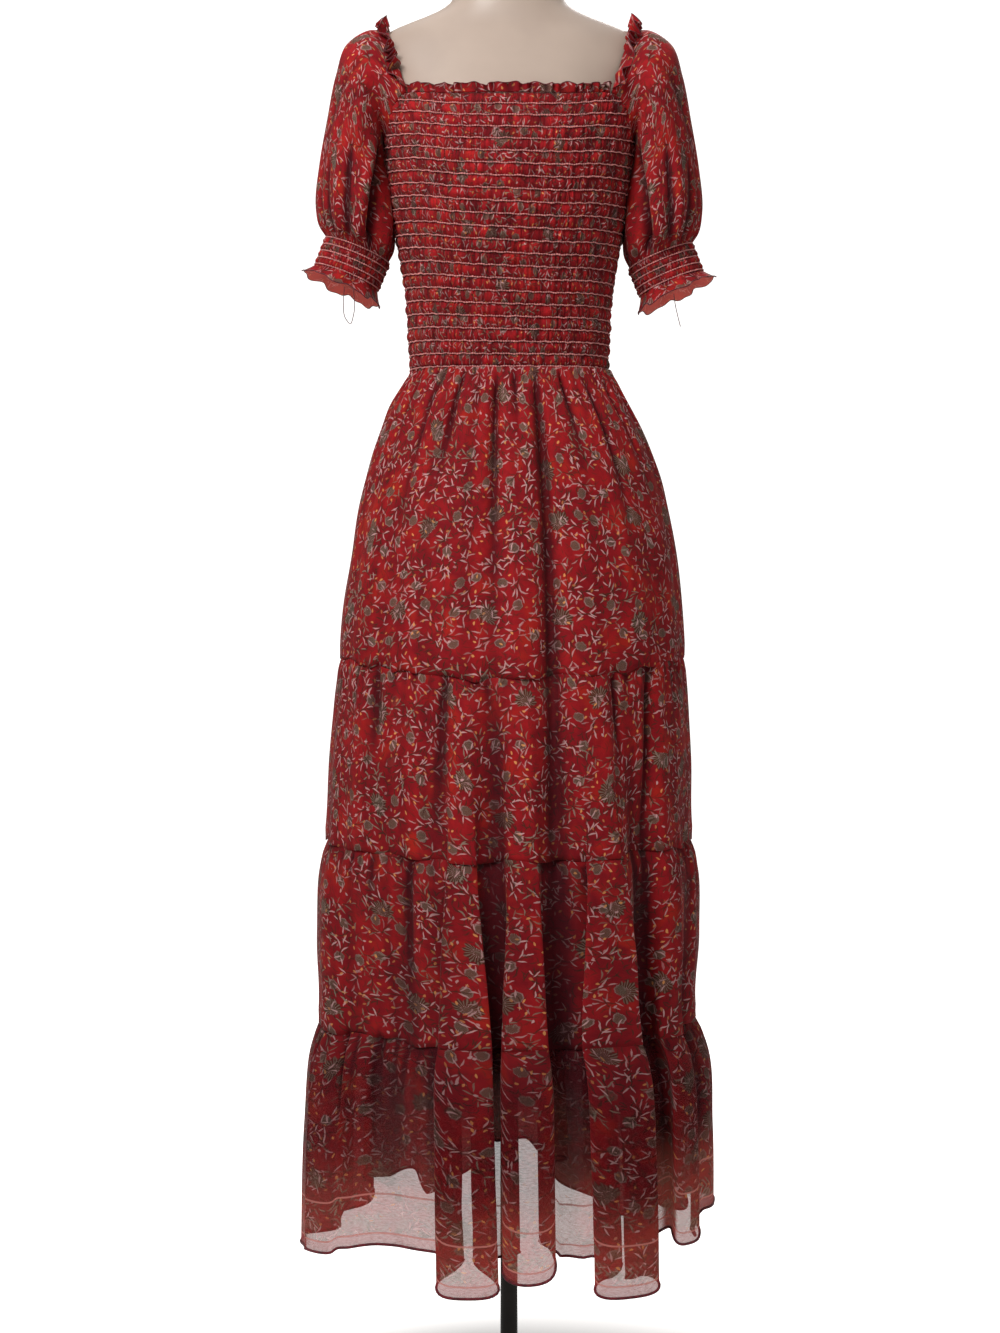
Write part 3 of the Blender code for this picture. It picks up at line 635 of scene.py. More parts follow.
def tube_lift(angle):
    """How much the hem is raised where a full fold turns under, which rounds its lower end."""
    total = np.zeros(np.shape(angle))
    for tube in TUBES:
        off = np.abs(off_from(angle, tube.lower)) / tube.length
        turned = (1.0 - np.cos(FULL_TURN * np.minimum(off, 0.5))) / 2.0
        full = smooth_rise((tube.carry - 0.2) / 0.2)
        total = np.maximum(total, TUBE_LIFT * full * turned ** 1.6 * smooth_rise((1.1 - off) / 0.5))
    return total


def turned_under(angle, z):
    """Where cloth lies behind cloth, from 0 to 1: inside the full folds and at the side seams."""
    total = np.zeros(np.broadcast(angle, z).shape)
    for tube in TUBES:
        off = np.abs(tube_place(tube, angle, z)[1])
        hidden = smooth_rise((off - 0.22) / 0.08) * smooth_rise((0.80 - off) / 0.08)
        total = np.maximum(total, hidden * smooth_rise((tube.carry - 0.2) / 0.1))
    sideways = np.abs(np.cos(np.radians(angle)))
    return np.maximum(total, 0.85 * smooth_rise((sideways - 0.88) / 0.11))


def overhang(seam, angle):
    """How strongly the cloth above a seam hangs over it, from 0 to 1."""
    total = np.zeros(np.shape(angle))
    for place in OVERHANGS:
        if place.seam == seam:
            off = off_from(angle, place.angle)
            total += place.strength * np.exp(-((off / place.half_width) ** 2))
    return np.minimum(total, 1.0)


def hollow_shade(reach, span, depth, closed=False):
    """How far a place lies in a hollow of the cloth, from 0 to 1, against its neighbours in a span: the
    strength of the painted shade there.
    """
    ends = "wrap" if closed else "edge"
    padded = np.pad(reach, ((0, 0), (span, span)), mode=ends)
    total = np.cumsum(np.pad(padded, ((0, 0), (1, 0))), axis=1)
    even = (total[:, 2 * span + 1:] - total[:, :-2 * span - 1]) / (2 * span + 1)
    return np.clip((even - reach) / depth, 0.0, 1.0)


def even_lengths(grid, width):
    """Place across the cut for each point, by the length of cloth before it in its row."""
    steps = np.linalg.norm(np.diff(grid, axis=1)[..., :2], axis=2)
    run = np.concatenate([np.zeros((len(grid), 1)), np.cumsum(steps, axis=1)], axis=1)
    run = run / run[:, -1:]
    for _ in range(6):
        run[1:-1] = (run[:-2] + 2.0 * run[1:-1] + run[2:]) / 4.0
    return run * width


def tier_angles(start):
    """Angles of the columns of a panel, closer together where the fullest folds hang."""
    fine = np.linspace(start, start + 180.0, 1441)
    weight = np.ones_like(fine)
    for tube in TUBES:
        off = off_from(fine, tube.lower)
        weight += 2.0 * np.exp(-((off / (0.6 * tube.length)) ** 2))
    run = np.concatenate([[0.0], np.cumsum((weight[1:] + weight[:-1]) / 2.0)])
    angles = np.interp(np.linspace(0.0, run[-1], TIER_COLUMNS + 1), run, fine)
    angles[0] += 0.03
    angles[-1] -= 0.03
    return angles[None, :]


def soft_noise(seed, place, size):
    """Smooth noise from -1 to 1 along a line, with bumps of about one size."""
    rng = np.random.default_rng(seed)
    total = np.zeros_like(place, dtype=float)
    for stretch, strength in ((1.0, 0.5), (1.7, 0.3), (2.9, 0.2)):
        phase = rng.uniform(0.0, FULL_TURN)
        total += strength * np.sin(FULL_TURN * place / (size * stretch * 2.0) + phase)
    return total * 1.4


def gathered_reach(seed, share, drop, count, depth, pinch=0.008):
    """Gathers that hang from a drawn-up edge: uneven soft troughs that run out below it."""
    rng = np.random.default_rng(seed)
    places = (np.arange(count) + 0.5 + rng.uniform(-0.38, 0.38, count)) / count
    half = rng.uniform(0.22, 0.42, count) / count
    deep = rng.uniform(0.35, 1.0, count) * depth
    run = rng.uniform(0.016, 0.050, count)
    long = rng.random(count) < 0.28
    run[long] *= 2.6
    half[long] *= 1.3
    lean = rng.uniform(-0.25, 0.25, count) / count
    rise = between(0.45, 1.0, smooth_rise(drop / pinch))
    total = np.zeros(np.broadcast(share, drop).shape)
    for place, width, dip, fade, slant in zip(places, half, deep, run, lean):
        widened = width * (1.0 + drop / 0.10)
        off = (share - place - slant * drop / 0.05) / widened
        total -= dip * np.exp(-off * off) * np.exp(-np.maximum(drop - pinch, 0.0) / fade)
    return total * rise


# Thin walls of cloth and other closed meshes


def placed(name, data):
    """An object with its data, put in the scene."""
    thing = bpy.data.objects.new(name, data)
    bpy.context.scene.collection.objects.link(thing)
    return thing


def grid_normals(grid, centre, closed):
    """Unit normals over a grid of points, and 1 or -1 for the way that its faces turn."""
    if closed:
        across = np.roll(grid, -1, axis=1) - np.roll(grid, 1, axis=1)
    else:
        across = np.gradient(grid, axis=1)
    normals = unit(np.cross(across, np.gradient(grid, axis=0)))
    way = 1.0 if np.sum(normals * (grid - centre)) > 0.0 else -1.0
    return normals * way, way


def quad_faces(ids):
    """Four-sided faces over a grid of numbers."""
    corners = (ids[:-1, :-1], ids[:-1, 1:], ids[1:, 1:], ids[1:, :-1])
    return np.stack(corners, axis=-1).reshape(-1, 4)


def rim_faces(line, partner):
    """Four-sided faces between two lines of numbers."""
    return np.stack((line[:-1], line[1:], partner[1:], partner[:-1]), axis=-1)


def wall_faces(outer, inner, closed):
    """Faces of a thin wall from the grids of its outer and inner numbers, all one way round."""
    faces = [
        quad_faces(outer),
        quad_faces(inner)[:, ::-1],
        rim_faces(outer[0, ::-1], inner[0, ::-1]),
        rim_faces(outer[-1], inner[-1]),
    ]
    if not closed:
        faces.append(rim_faces(outer[:, 0], inner[:, 0]))
        faces.append(rim_faces(outer[::-1, -1], inner[::-1, -1]))
    return np.concatenate(faces)


def mesh_object(name, points, faces, material, flat=None, marks=None):
    """A smooth mesh object from points and four-sided faces, with its flat cloth map."""
    mesh = bpy.data.meshes.new(name)
    mesh.vertices.add(len(points))
    mesh.vertices.foreach_set("co", points.astype(np.float32).ravel())
    mesh.loops.add(faces.size)
    mesh.loops.foreach_set("vertex_index", faces.astype(np.int32).ravel())
    mesh.polygons.add(len(faces))
    mesh.polygons.foreach_set("loop_start", np.arange(0, faces.size, 4, dtype=np.int32))
    mesh.update(calc_edges=True)
    if flat is not None:
        layer = mesh.uv_layers.new(name="flat_cloth")
        layer.uv.foreach_set("vector", flat.astype(np.float32).ravel())
    for label, values in (marks or {}).items():
        mark = mesh.attributes.new(label, "FLOAT", "POINT")
        mark.data.foreach_set("value", values.astype(np.float32).ravel())
    mesh.validate()
    mesh.shade_smooth()
    mesh.materials.append(material)
    return placed(name, mesh)


def cloth_wall(name, grid, flat, centre, material, closed=False, shade=0.0, under=0.0):
    """A cut piece as a thin closed wall, from the points of its outer face.

    A closed grid runs round once without its first column again; its flat map has that column.
    Marks go with each point: its painted shade in the folds and hollows, whether it is on the inner
    face, where the painted shade is halved, and how far the cloth there is doubled.
    """
    wall = bpy.context.scene.dress_chiffon.wall
    normals, way = grid_normals(grid, centre, closed)
    lines, columns = grid.shape[:2]
    outer = np.arange(lines * columns).reshape(lines, columns)
    if closed:
        outer = np.concatenate([outer, outer[:, :1]], axis=1)
    faces = wall_faces(outer, outer + lines * columns, closed)
    flat_ids = np.arange(flat.shape[0] * flat.shape[1]).reshape(flat.shape[:2])
    corners = wall_faces(flat_ids, flat_ids, closed)
    if way < 0.0:
        faces = faces[:, ::-1]
        corners = corners[:, ::-1]
    points = np.concatenate([grid.reshape(-1, 3), (grid - normals * wall).reshape(-1, 3)])
    shade = np.broadcast_to(shade, (lines, columns)).ravel()
    marks = {
        "fold_shade": np.concatenate([shade, shade * 0.5]),
        "inner_face": np.repeat([0.0, 1.0], lines * columns),
        "turned_under": np.tile(np.broadcast_to(under, (lines, columns)).ravel(), 2),
    }
    return mesh_object(name, points, faces, material, flat.reshape(-1, 2)[corners], marks)


def flat_map(name, lines, columns, along, squeeze=1.0):
    """The flat cloth's coordinates over a grid: cut width across, and a length down.

    Shirred cloth is squeezed: more of it lies hidden in the puckers than the cut shows.
    """
    across = np.linspace(0.0, CUTS[name].width * squeeze, columns)
    return np.stack(np.broadcast_arrays(across[None, :], along.reshape(lines, -1)), axis=-1)


def finish_cloth(piece, node):
    """Attach a cut piece to the root, and hide the part of the model that it replaces."""
    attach(piece, "root")
    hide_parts(node)


# Bodice and its header


def form_gap(z):
    """Clearance between the form and the inside of the bodice."""
    return between(WAIST_FORM_GAP, FORM_GAP, smooth_rise((z - SEAMS[0].side) / 0.03))


def smock_height(step, angle):
    """Height of a row of shirring: rows rise a little towards the sides and slope across."""
    smock = bpy.context.scene.dress_smock
    share = step / SMOCK_STEPS
    bottom = seam_height(0, angle) + SEAM_GAP / 2.0
    turn = np.sin(np.radians(angle))
    arch = smock.arch * (1.0 - np.abs(turn) ** 0.83) * (1.0 - share)
    sideways = BODICE_RADIUS * np.cos(np.radians(angle))
    slope = smock.tilt * sideways * np.sin(math.pi * share)
    return between(neck_edge(angle), bottom, share) + arch + np.where(turn < 0.0, slope, 0.0)


def smock_step(z, angles):
    """Which step of the shirring lies at a height, at each angle."""
    steps = np.linspace(0.0, SMOCK_STEPS, 120)
    heights = smock_height(steps[:, None], angles[None, :])
    columns = [np.interp(-z[:, at], -heights[:, at], steps) for at in range(len(angles))]
    return np.stack(columns, axis=1)


def smock_puff(seed, step, distance):
    """Height of the shirred cloth, pinched at each row and puckered between, and its painted shade."""
    smock = bpy.context.scene.dress_smock
    band = np.floor(step / 2.0).astype(int)
    share = step / 2.0 - band
    profile = np.sin(math.pi * share) ** 0.75
    height = np.zeros(np.broadcast(step, distance).shape)
    for number in np.unique(band):
        line = seed + int(number)
        shifted = distance + smock.pucker * 0.9 * soft_noise(line, distance, smock.pucker * 2.2)
        ridge = np.abs(np.sin(math.pi * shifted / smock.pucker)) ** 0.9
        size = 0.74 + 0.26 * soft_noise(line + 500, distance, smock.pucker * 1.4)
        height = np.where(band == number, between(0.10, 1.0, ridge) * size, height)
    pinch = 0.00035 * np.sin(FULL_TURN * distance / (smock.pucker * 0.55))
    # Painted shade: darker in the hollows between the puffs and beside each row
    shade = np.clip(1.25 - 1.75 * height * profile ** 0.5, 0.0, 1.0) * smock.shade
    return smock.base + pinch + smock.puff * height * profile, shade


def bodice_grid(front):
    """Points of the outer face of a shirred panel."""
    start = 180.0 if front else 0.0
    angles = np.linspace(start, start + 180.0, BODICE_COLUMNS + 1)
    angles[0] += 0.03
    angles[-1] -= 0.03
    steps = np.linspace(0.0, SMOCK_STEPS, SMOCK_ROWS * BODICE_STEPS + 1)[:, None]
    distance = np.radians(angles - start)[None, :] * BODICE_RADIUS
    below_edge = 0.00002 * np.arange(len(steps))[:, None]
    top = bodice_top(angles)[None, :]
    z = np.minimum(smock_height(steps, angles[None, :]), top - below_edge)
    puff, shade = smock_puff(100 if front else 200, smock_step(z, angles), distance)
    return figure_point(angles[None, :], z, form_gap(z) + puff), steps, shade


def make_bodice(front):
    """The front or back panel of the bodice."""
    name = f"bodice_{face_word(front)}"
    grid, steps, shade = bodice_grid(front)
    down = steps / SMOCK_STEPS * CUTS[name].length
    flat = flat_map(name, grid.shape[0], grid.shape[1], down, 1.5)
    cloth = chiffon_material("shirred")
    piece = cloth_wall(f"{name}_cloth", grid, flat, BODICE_CENTRE, cloth, shade=shade)
    finish_cloth(piece, name)


def frill_grid(header, roots, rises, outs):
    """Points of a gathered header that stands on a line of roots."""
    place = np.linspace(0.0, header.waves, len(roots))
    phase = place + 0.35 * soft_noise(header.seed, place, 1.4)
    wave = np.cos(FULL_TURN * phase) * (0.75 + 0.25 * soft_noise(header.seed + 1, place, 1.0))
    tall = header.height * (0.90 + 0.16 * soft_noise(header.seed + 2, place, 0.8))
    share = np.linspace(1.0, 0.0, RUFFLE_LINES)[:, None]
    depth = between(header.root_wave, 1.0, share ** 0.8)
    rise = (share * tall[None, :])[..., None]
    out = (header.reach * depth * wave[None, :] + 0.0012 * share ** 2)[..., None]
    # Painted shade where the waves turn in, weaker towards the top edge
    shade = 0.75 * np.clip(0.35 - wave, 0.0, 1.0)[None, :] * between(1.0, 0.6, share)
    return roots[None] + rises[None] * rise + outs[None] * out, 1.0 - share, shade


def header_lines(front):
    """Roots, rises and outs of the header over the neckline."""
    start = 180.0 if front else 0.0
    angles = np.linspace(start + CORNER_ANGLE + 1.0, start + 180.0 - CORNER_ANGLE - 1.0, 220)
    neck = neck_edge(angles) + SEAM_GAP
    roots = figure_point(angles, neck, form_gap(neck) + bpy.context.scene.dress_smock.base + 0.0004)
    outs = unit(roots * np.array([1.0, 1.0, 0.0]))
    rises = unit(outs * 0.05 + np.array([0.0, 0.0, 1.0]))
    return roots, rises, outs


def strap_point(share, away):
    """The neck edge of the left sleeve: share -1 at the front corner, 0 on top, 1 at the back."""
    back = share > 0.0
    corner_z = np.where(back, NECK_BACK, NECK_FRONT) + SEAM_GAP
    corner_x = figure_point(np.full_like(share, CORNER_ANGLE), corner_z)[..., 0]
    z = between(STRAP_TOP_Z, corner_z, np.abs(share) ** 1.8)
    x = between(STRAP_TOP_X, corner_x, np.abs(share) ** 1.8)
    across = np.minimum(1.0, x / read_column(FIGURE, "half_width", z))
    angle = np.degrees(np.arccos(across ** (SQUARENESS / 2.0)))
    angle = np.where(back, angle, 360.0 - angle)
    return figure_point(angle, z) + figure_normal(angle, z) * (STRAP_CLOTH + away)


def strap_lines(side):
    """Roots, rises and outs of the header along the neck edge of one sleeve."""
    share = np.linspace(-0.97, 0.97, 190)
    roots = strap_point(share, 0.0)
    along = strap_point(share + 0.04, 0.0) - strap_point(share - 0.04, 0.0)
    out = unit(strap_point(share, 0.01) - roots)
    rise = unit(np.cross(out, along))
    rise = np.where(rise[:, :1] > 0.0, -rise, rise)
    rise = unit(out - rise * 0.22)
    outs = unit(np.cross(rise, along))
    outs = np.where(np.sum(outs * out, axis=1, keepdims=True) < 0.0, -outs, outs)
    flip = np.array([side, 1.0, 1.0])
    return (roots + rise * 0.0006) * flip, rise * flip, outs * flip


# The headers: how many waves, how far these swing at the top, the height, and the share of the
# swing that is left at the root
Header = namedtuple("Header", "name seed waves reach height root_wave")
HEADERS = [
    Header("neck_ruffle_front", 31, 21.0, 0.0034, 0.0115, 0.22),
    Header("neck_ruffle_back", 41, 21.0, 0.0034, 0.0115, 0.22),
    Header("neck_ruffle_left", 51, 11.0, 0.01, 0.0145, 0.5),
    Header("neck_ruffle_right", 61, 11.0, 0.01, 0.0145, 0.5),
]


def header_grid(header):
    """Points of one header, and the lines that it stands on."""
    side = header.name.split("_")[-1]
    if side in ("front", "back"):
        lines = header_lines(side == "front")
    else:
        lines = strap_lines(1.0 if side == "left" else -1.0)
    return (*frill_grid(header, *lines), lines)


def make_header(header):
    """One gathered header of the neckline."""
    grid, down, shade, (roots, _, outs) = header_grid(header)
    flat = flat_map(header.name, grid.shape[0], grid.shape[1], down * CUTS[header.name].length)
    centre = roots[None] - outs[None] * 0.05
    cloth = chiffon_material("header")
    piece = cloth_wall(f"{header.name}_cloth", grid, flat, centre, cloth, shade=shade)
    finish_cloth(piece, header.name)


# Sleeves and bands


def cuff_drop(side):
    """How much lower the wearer's left band hangs than the right one."""
    return LEFT_CUFF_DROP if side > 0.0 else 0.0


def armhole_ring(share, side):
    """Points round a sleeve's upper edge: underarm, front seam, neck edge, back seam."""
    gap = 0.0005
    low = share < ARMHOLE_SHARE
    high = share > 1.0 - ARMHOLE_SHARE
    front = 360.0 - CORNER_ANGLE * share / ARMHOLE_SHARE
    back = CORNER_ANGLE * (1.0 - share) / ARMHOLE_SHARE
    angle = np.where(low, front, np.where(high, back, CORNER_ANGLE))
    seam = figure_point(angle, bodice_top(angle) + gap, STRAP_CLOTH - 0.0006)
    along = np.clip((share - ARMHOLE_SHARE) / (1.0 - 2.0 * ARMHOLE_SHARE), 0.0, 1.0)
    neck = strap_point(2.0 * along - 1.0, 0.0)
    ring = np.where((low | high)[:, None], seam, neck)
    return ring * np.array([side, 1.0, 1.0])


def sleeve_ring(ring, share, side):
    """Points round one ring of the sleeve, from the inner edge through the front and over."""
    hang = (SLEEVE[0].z_out - ring.z_out) / (SLEEVE[0].z_out - CUFF_TOP[2])
    turn = FULL_TURN * share
    x = (ring.x_in + ring.x_out) / 2.0 - (ring.x_out - ring.x_in) / 2.0 * np.cos(turn)
    z = (ring.z_in + ring.z_out) / 2.0 - (ring.z_out - ring.z_in) / 2.0 * np.cos(turn)
    return stacked(x * side, -ring.half_depth * np.sin(turn), z - cuff_drop(side) * hang)


def cuff_point(along, away, share, side):
    """Points on the band: along its axis, away from it, and round it from its inner edge."""
    turn = FULL_TURN * share
    width = (CUFF_HALF_WIDTH + away) * -np.cos(turn)
    depth = (CUFF_HALF_DEPTH + away) * np.sin(turn)
    x = CUFF_TOP[0] + math.sin(CUFF_TILT) * along + math.cos(CUFF_TILT) * width
    z = CUFF_TOP[2] - cuff_drop(side) - math.cos(CUFF_TILT) * along + math.sin(CUFF_TILT) * width
    return stacked(x * side, CUFF_TOP[1] - depth, z)


def crease_reach(creases, turn, down):
    """How far the creases of a sleeve carry it out or in."""
    total = np.zeros(np.broadcast(turn, down).shape)
    for crease in creases:
        share = np.clip((down - crease.start) / (crease.end - crease.start), 0.0, 1.0)
        off = off_from(turn, between(crease.upper, crease.lower, share))
        window = smooth_rise(share * 2.5) * smooth_rise((1.02 - down) / 0.12)
        total += crease.reach * window * np.exp(-((off / crease.half_width) ** 2))
    return total


def sleeve_grid(side):
    """Points of the outer face of a puff sleeve, with its gathers and creases."""
    share = np.arange(SLEEVE_COLUMNS) / SLEEVE_COLUMNS
    rings = [armhole_ring(share, side)]
    rings += [sleeve_ring(ring, share, side) for ring in SLEEVE]
    rings.append(cuff_point(-SEAM_GAP, 0.0014, share, side))
    rings = np.stack(rings)
    gaps = np.linalg.norm(np.diff(rings, axis=0), axis=2).mean(axis=1)
    knots = np.concatenate([[0.0], np.cumsum(gaps)])
    along = np.linspace(0.0, knots[-1], SLEEVE_LINES)
    grid = soft_curve(knots, rings, along)
    centre = grid.mean(axis=1, keepdims=True)
    normals = grid_normals(grid, centre, True)[0]
    down = (along / knots[-1])[:, None]
    seed = 300 if side > 0.0 else 350
    turned = share[None, :]
    lower = gathered_reach(seed, turned, knots[-1] - along[:, None], 40, 0.0042)
    upper = gathered_reach(seed + 7, turned, along[:, None], 34, 0.0020)
    over_top = smooth_rise((np.abs(turned - 0.5) - 0.26) / -0.08)
    reach = lower + upper * between(0.25, 1.0, over_top)
    reach = reach + crease_reach(SLEEVE_CREASES, turned * 360.0, down)
    reach = reach * smooth_rise(np.minimum(down, 1.0 - down) / 0.015)
    # Painted shade in the hollows of the gathers and creases
    shade = 0.7 * hollow_shade(reach, 3, 0.0022, True) + 0.8 * hollow_shade(reach, 9, 0.0060, True)
    steps = np.linalg.norm(np.diff(grid, axis=0), axis=2)
    run = np.concatenate([np.zeros((1, SLEEVE_COLUMNS)), np.cumsum(steps, axis=0)])
    length = between(run, run - run[-1:] + knots[-1], 0.6)
    return grid + normals * reach[..., None], centre, length, np.minimum(shade, 1.0)


def make_sleeve(side):
    """One puff sleeve."""
    name = f"sleeve_{hand_word(side)}"
    grid, centre, length, shade = sleeve_grid(side)
    length = np.concatenate([length, length[:, :1]], axis=1)
    flat = flat_map(name, grid.shape[0], grid.shape[1] + 1, length)
    piece = cloth_wall(f"{name}_cloth", grid, flat, centre, chiffon_material("sleeve"), True, shade)
    finish_cloth(piece, name)


def make_cuff(side):
    """The shirred band of one sleeve."""
    hand = hand_word(side)
    name = f"cuff_{hand}"
    share = np.arange(CUFF_COLUMNS) / CUFF_COLUMNS
    steps = np.linspace(0.0, CUFF_STEPS, CUFF_ROWS * 6 + 1)[:, None]
    puff, shade = smock_puff(400, steps, (share * CUFF_ROUND)[None, :])
    grid = cuff_point(CUFF_LENGTH * steps / CUFF_STEPS, puff * 0.9, share[None, :], side)
    centre = grid.mean(axis=1, keepdims=True)
    down = steps / CUFF_STEPS * CUTS[name].length
    flat = flat_map(name, grid.shape[0], grid.shape[1] + 1, down, 1.5)
    piece = cloth_wall(f"{name}_cloth", grid, flat, centre, chiffon_material("shirred"), True, shade)
    finish_cloth(piece, name)


def cuff_frill_grid(side):
    """Points of the flared frill below the band."""
    share = np.arange(CUFF_COLUMNS) / CUFF_COLUMNS
    seed = 420 if side > 0.0 else 430
    rng = np.random.default_rng(seed)
    turn = FULL_TURN * share
    main = np.cos(7.0 * turn + 0.8 * np.sin(2.0 * turn + rng.uniform(0.0, 6.0)))
    small = np.cos(15.0 * turn + 1.3 * np.sin(3.0 * turn + rng.uniform(0.0, 6.0)))
    down = np.linspace(0.0, 1.0, 12)[:, None]
    away = 0.0012 + 0.0095 * down ** 1.2
    ends = 0.20 + 0.80 * np.sin(turn) ** 2
    wave = (ends * (0.0042 * main + 0.0018 * small))[None, :] * between(0.20, 1.0, down)
    outer = (1.0 - np.cos(turn)) / 2.0
    length = (CUFF_RUFFLE_LENGTH + 0.0022 * main + 0.0010 * small) * (1.0 - 0.30 * outer)
    along = CUFF_LENGTH + SEAM_GAP + length[None, :] * down
    away = away + 0.0020 * outer[None, :] * down
    # Painted shade where the waves turn in, weaker towards the free edge
    shade = 0.6 * np.clip(0.3 - main, 0.0, 1.0)[None, :] * between(1.0, 0.3, down)
    return cuff_point(along, away + wave, share[None, :], side), down, shade


def make_cuff_frill(side):
    """The flared frill below one band."""
    hand = hand_word(side)
    name = f"cuff_ruffle_{hand}"
    grid, down, shade = cuff_frill_grid(side)
    centre = grid.mean(axis=1, keepdims=True)
    flat = flat_map(name, grid.shape[0], grid.shape[1] + 1, down * CUTS[name].length)
    piece = cloth_wall(f"{name}_cloth", grid, flat, centre, chiffon_material("frill"), True, shade)
    finish_cloth(piece, name)


# Skirt


def tier_grid(number, front):
    """Points of the outer face of a panel of a tier, how far each lies below its seam, and its painted
    shade.
    """
    skirt = bpy.context.scene.dress_skirt
    start = 180.0 if front else 0.0
    angles = tier_angles(start)
    tuck = skirt.tuck if number else 0.0
    top = seam_height(number, angles) - SEAM_GAP / 2.0
    last = number + 1 == len(SEAMS)
    if last:
        bottom = hem_height(angles) + tube_lift(angles)
    else:
        bottom = seam_height(number + 1, angles) + SEAM_GAP / 2.0
    lines = int(round(float(np.mean(top - bottom)) / TIER_ROW)) + 1
    share_down = np.linspace(0.0, 1.0, lines)[:, None]
    z = between(top, bottom, share_down)
    if number:
        z = np.concatenate([top + tuck, z])
    drop = np.maximum(top - z, 0.0)
    tucked = np.maximum(z - top, 0.0)
    rise = z - bottom
    share = (angles - start) / 180.0
    seed = 600 + number * 10 + (0 if front else 5)
    out = 1.25 * fold_reach(angles, z) + 1.5 * pleat_reach(angles, z)
    out = out + gathered_reach(seed, share, drop, skirt.pleats, skirt.depth)
    pop = TIER_POPS[number]
    out = out + pop * smooth_rise(drop / 0.014)
    out = out + 0.0020 * soft_noise(seed + 1, share + 0.08 * z, 0.055) * smooth_rise(drop / 0.05)
    # Painted shade: the hollows of the gathers and folds are darkened, most near the seam
    near_seam = 0.38 + 0.52 * np.exp(-drop / 0.06)
    shade = near_seam * hollow_shade(out, 4, 0.0020) + 0.55 * hollow_shade(out, 14, 0.0100)
    # Painted shade in broad soft columns that run down the tier
    painted_column_shade = np.clip(soft_noise(seed + 60, share + 0.05 * z, 0.022), 0.0, 1.0)
    shade = shade + 0.26 * painted_column_shade * smooth_rise(drop / 0.03)
    if not last:
        ripple = gathered_reach(seed + 10, share, rise, skirt.pleats, skirt.depth)
        out = out + ripple * np.exp(-rise / 0.008)
        out = out - pop * (1.0 - smooth_rise(rise / 0.014))
        over = overhang(number + 1, angles) * np.exp(-((rise / 0.008) ** 2))
        out = out + OVERHANG_OUT * over
        z = z - OVERHANG_DROP * over
    if number:
        out = out - (skirt.groove + 0.0004) * smooth_rise(1.0 - drop / 0.002) - 0.3 * tucked
        # Painted shadow on the top of this tier, below the cloth that hangs over its seam
        shade = shade + overhang(number, angles) * np.exp(-((drop / 0.011) ** 2))
    # Painted shade over the whole tier, darker on the lower tiers
    shade = np.minimum(shade, 0.85) + TIER_PAINTED_SHADES[number]
    if last:
        # The painted shade fades out towards the hem
        shade = shade * between(0.05, 1.0, smooth_rise((rise - 0.02) / 0.09))
    around = angles + tube_turn(angles, z)
    across, along = plan_direction(around)
    reach_x = np.where(across > 0.0, read_column(SKIRT, "left", z), read_column(SKIRT, "right", z))
    reach_y = np.where(along > 0.0, read_column(SKIRT, "back", z), read_column(SKIRT, "front", z))
    turn = np.radians(around)
    grid = stacked(reach_x * across + out * np.cos(turn), reach_y * along + out * np.sin(turn), z)
    return grid, drop, rise, np.clip(shade, 0.0, 1.0)


def make_tier(number, front):
    """One panel of one tier."""
    face = face_word(front)
    name = f"skirt_tier_{number + 1}_{face}"
    grid, drop, rise, shade = tier_grid(number, front)
    last = number + 1 == len(SEAMS)
    across = even_lengths(grid, CUTS[name].width)
    flat = np.stack([across + 0.37 * number, rise if last else drop + 0.61 * number + 1.0], axis=-1)
    kind = ("hem" if front else "hem_back") if last else "skirt"
    under = turned_under(tier_angles(180.0 if front else 0.0), grid[..., 2])
    cloth = chiffon_material(kind)
    piece = cloth_wall(f"{name}_cloth", grid, flat, SKIRT_CENTRE, cloth, shade=shade, under=under)
    finish_cloth(piece, name)


# Node trees: a short way to add and join nodes


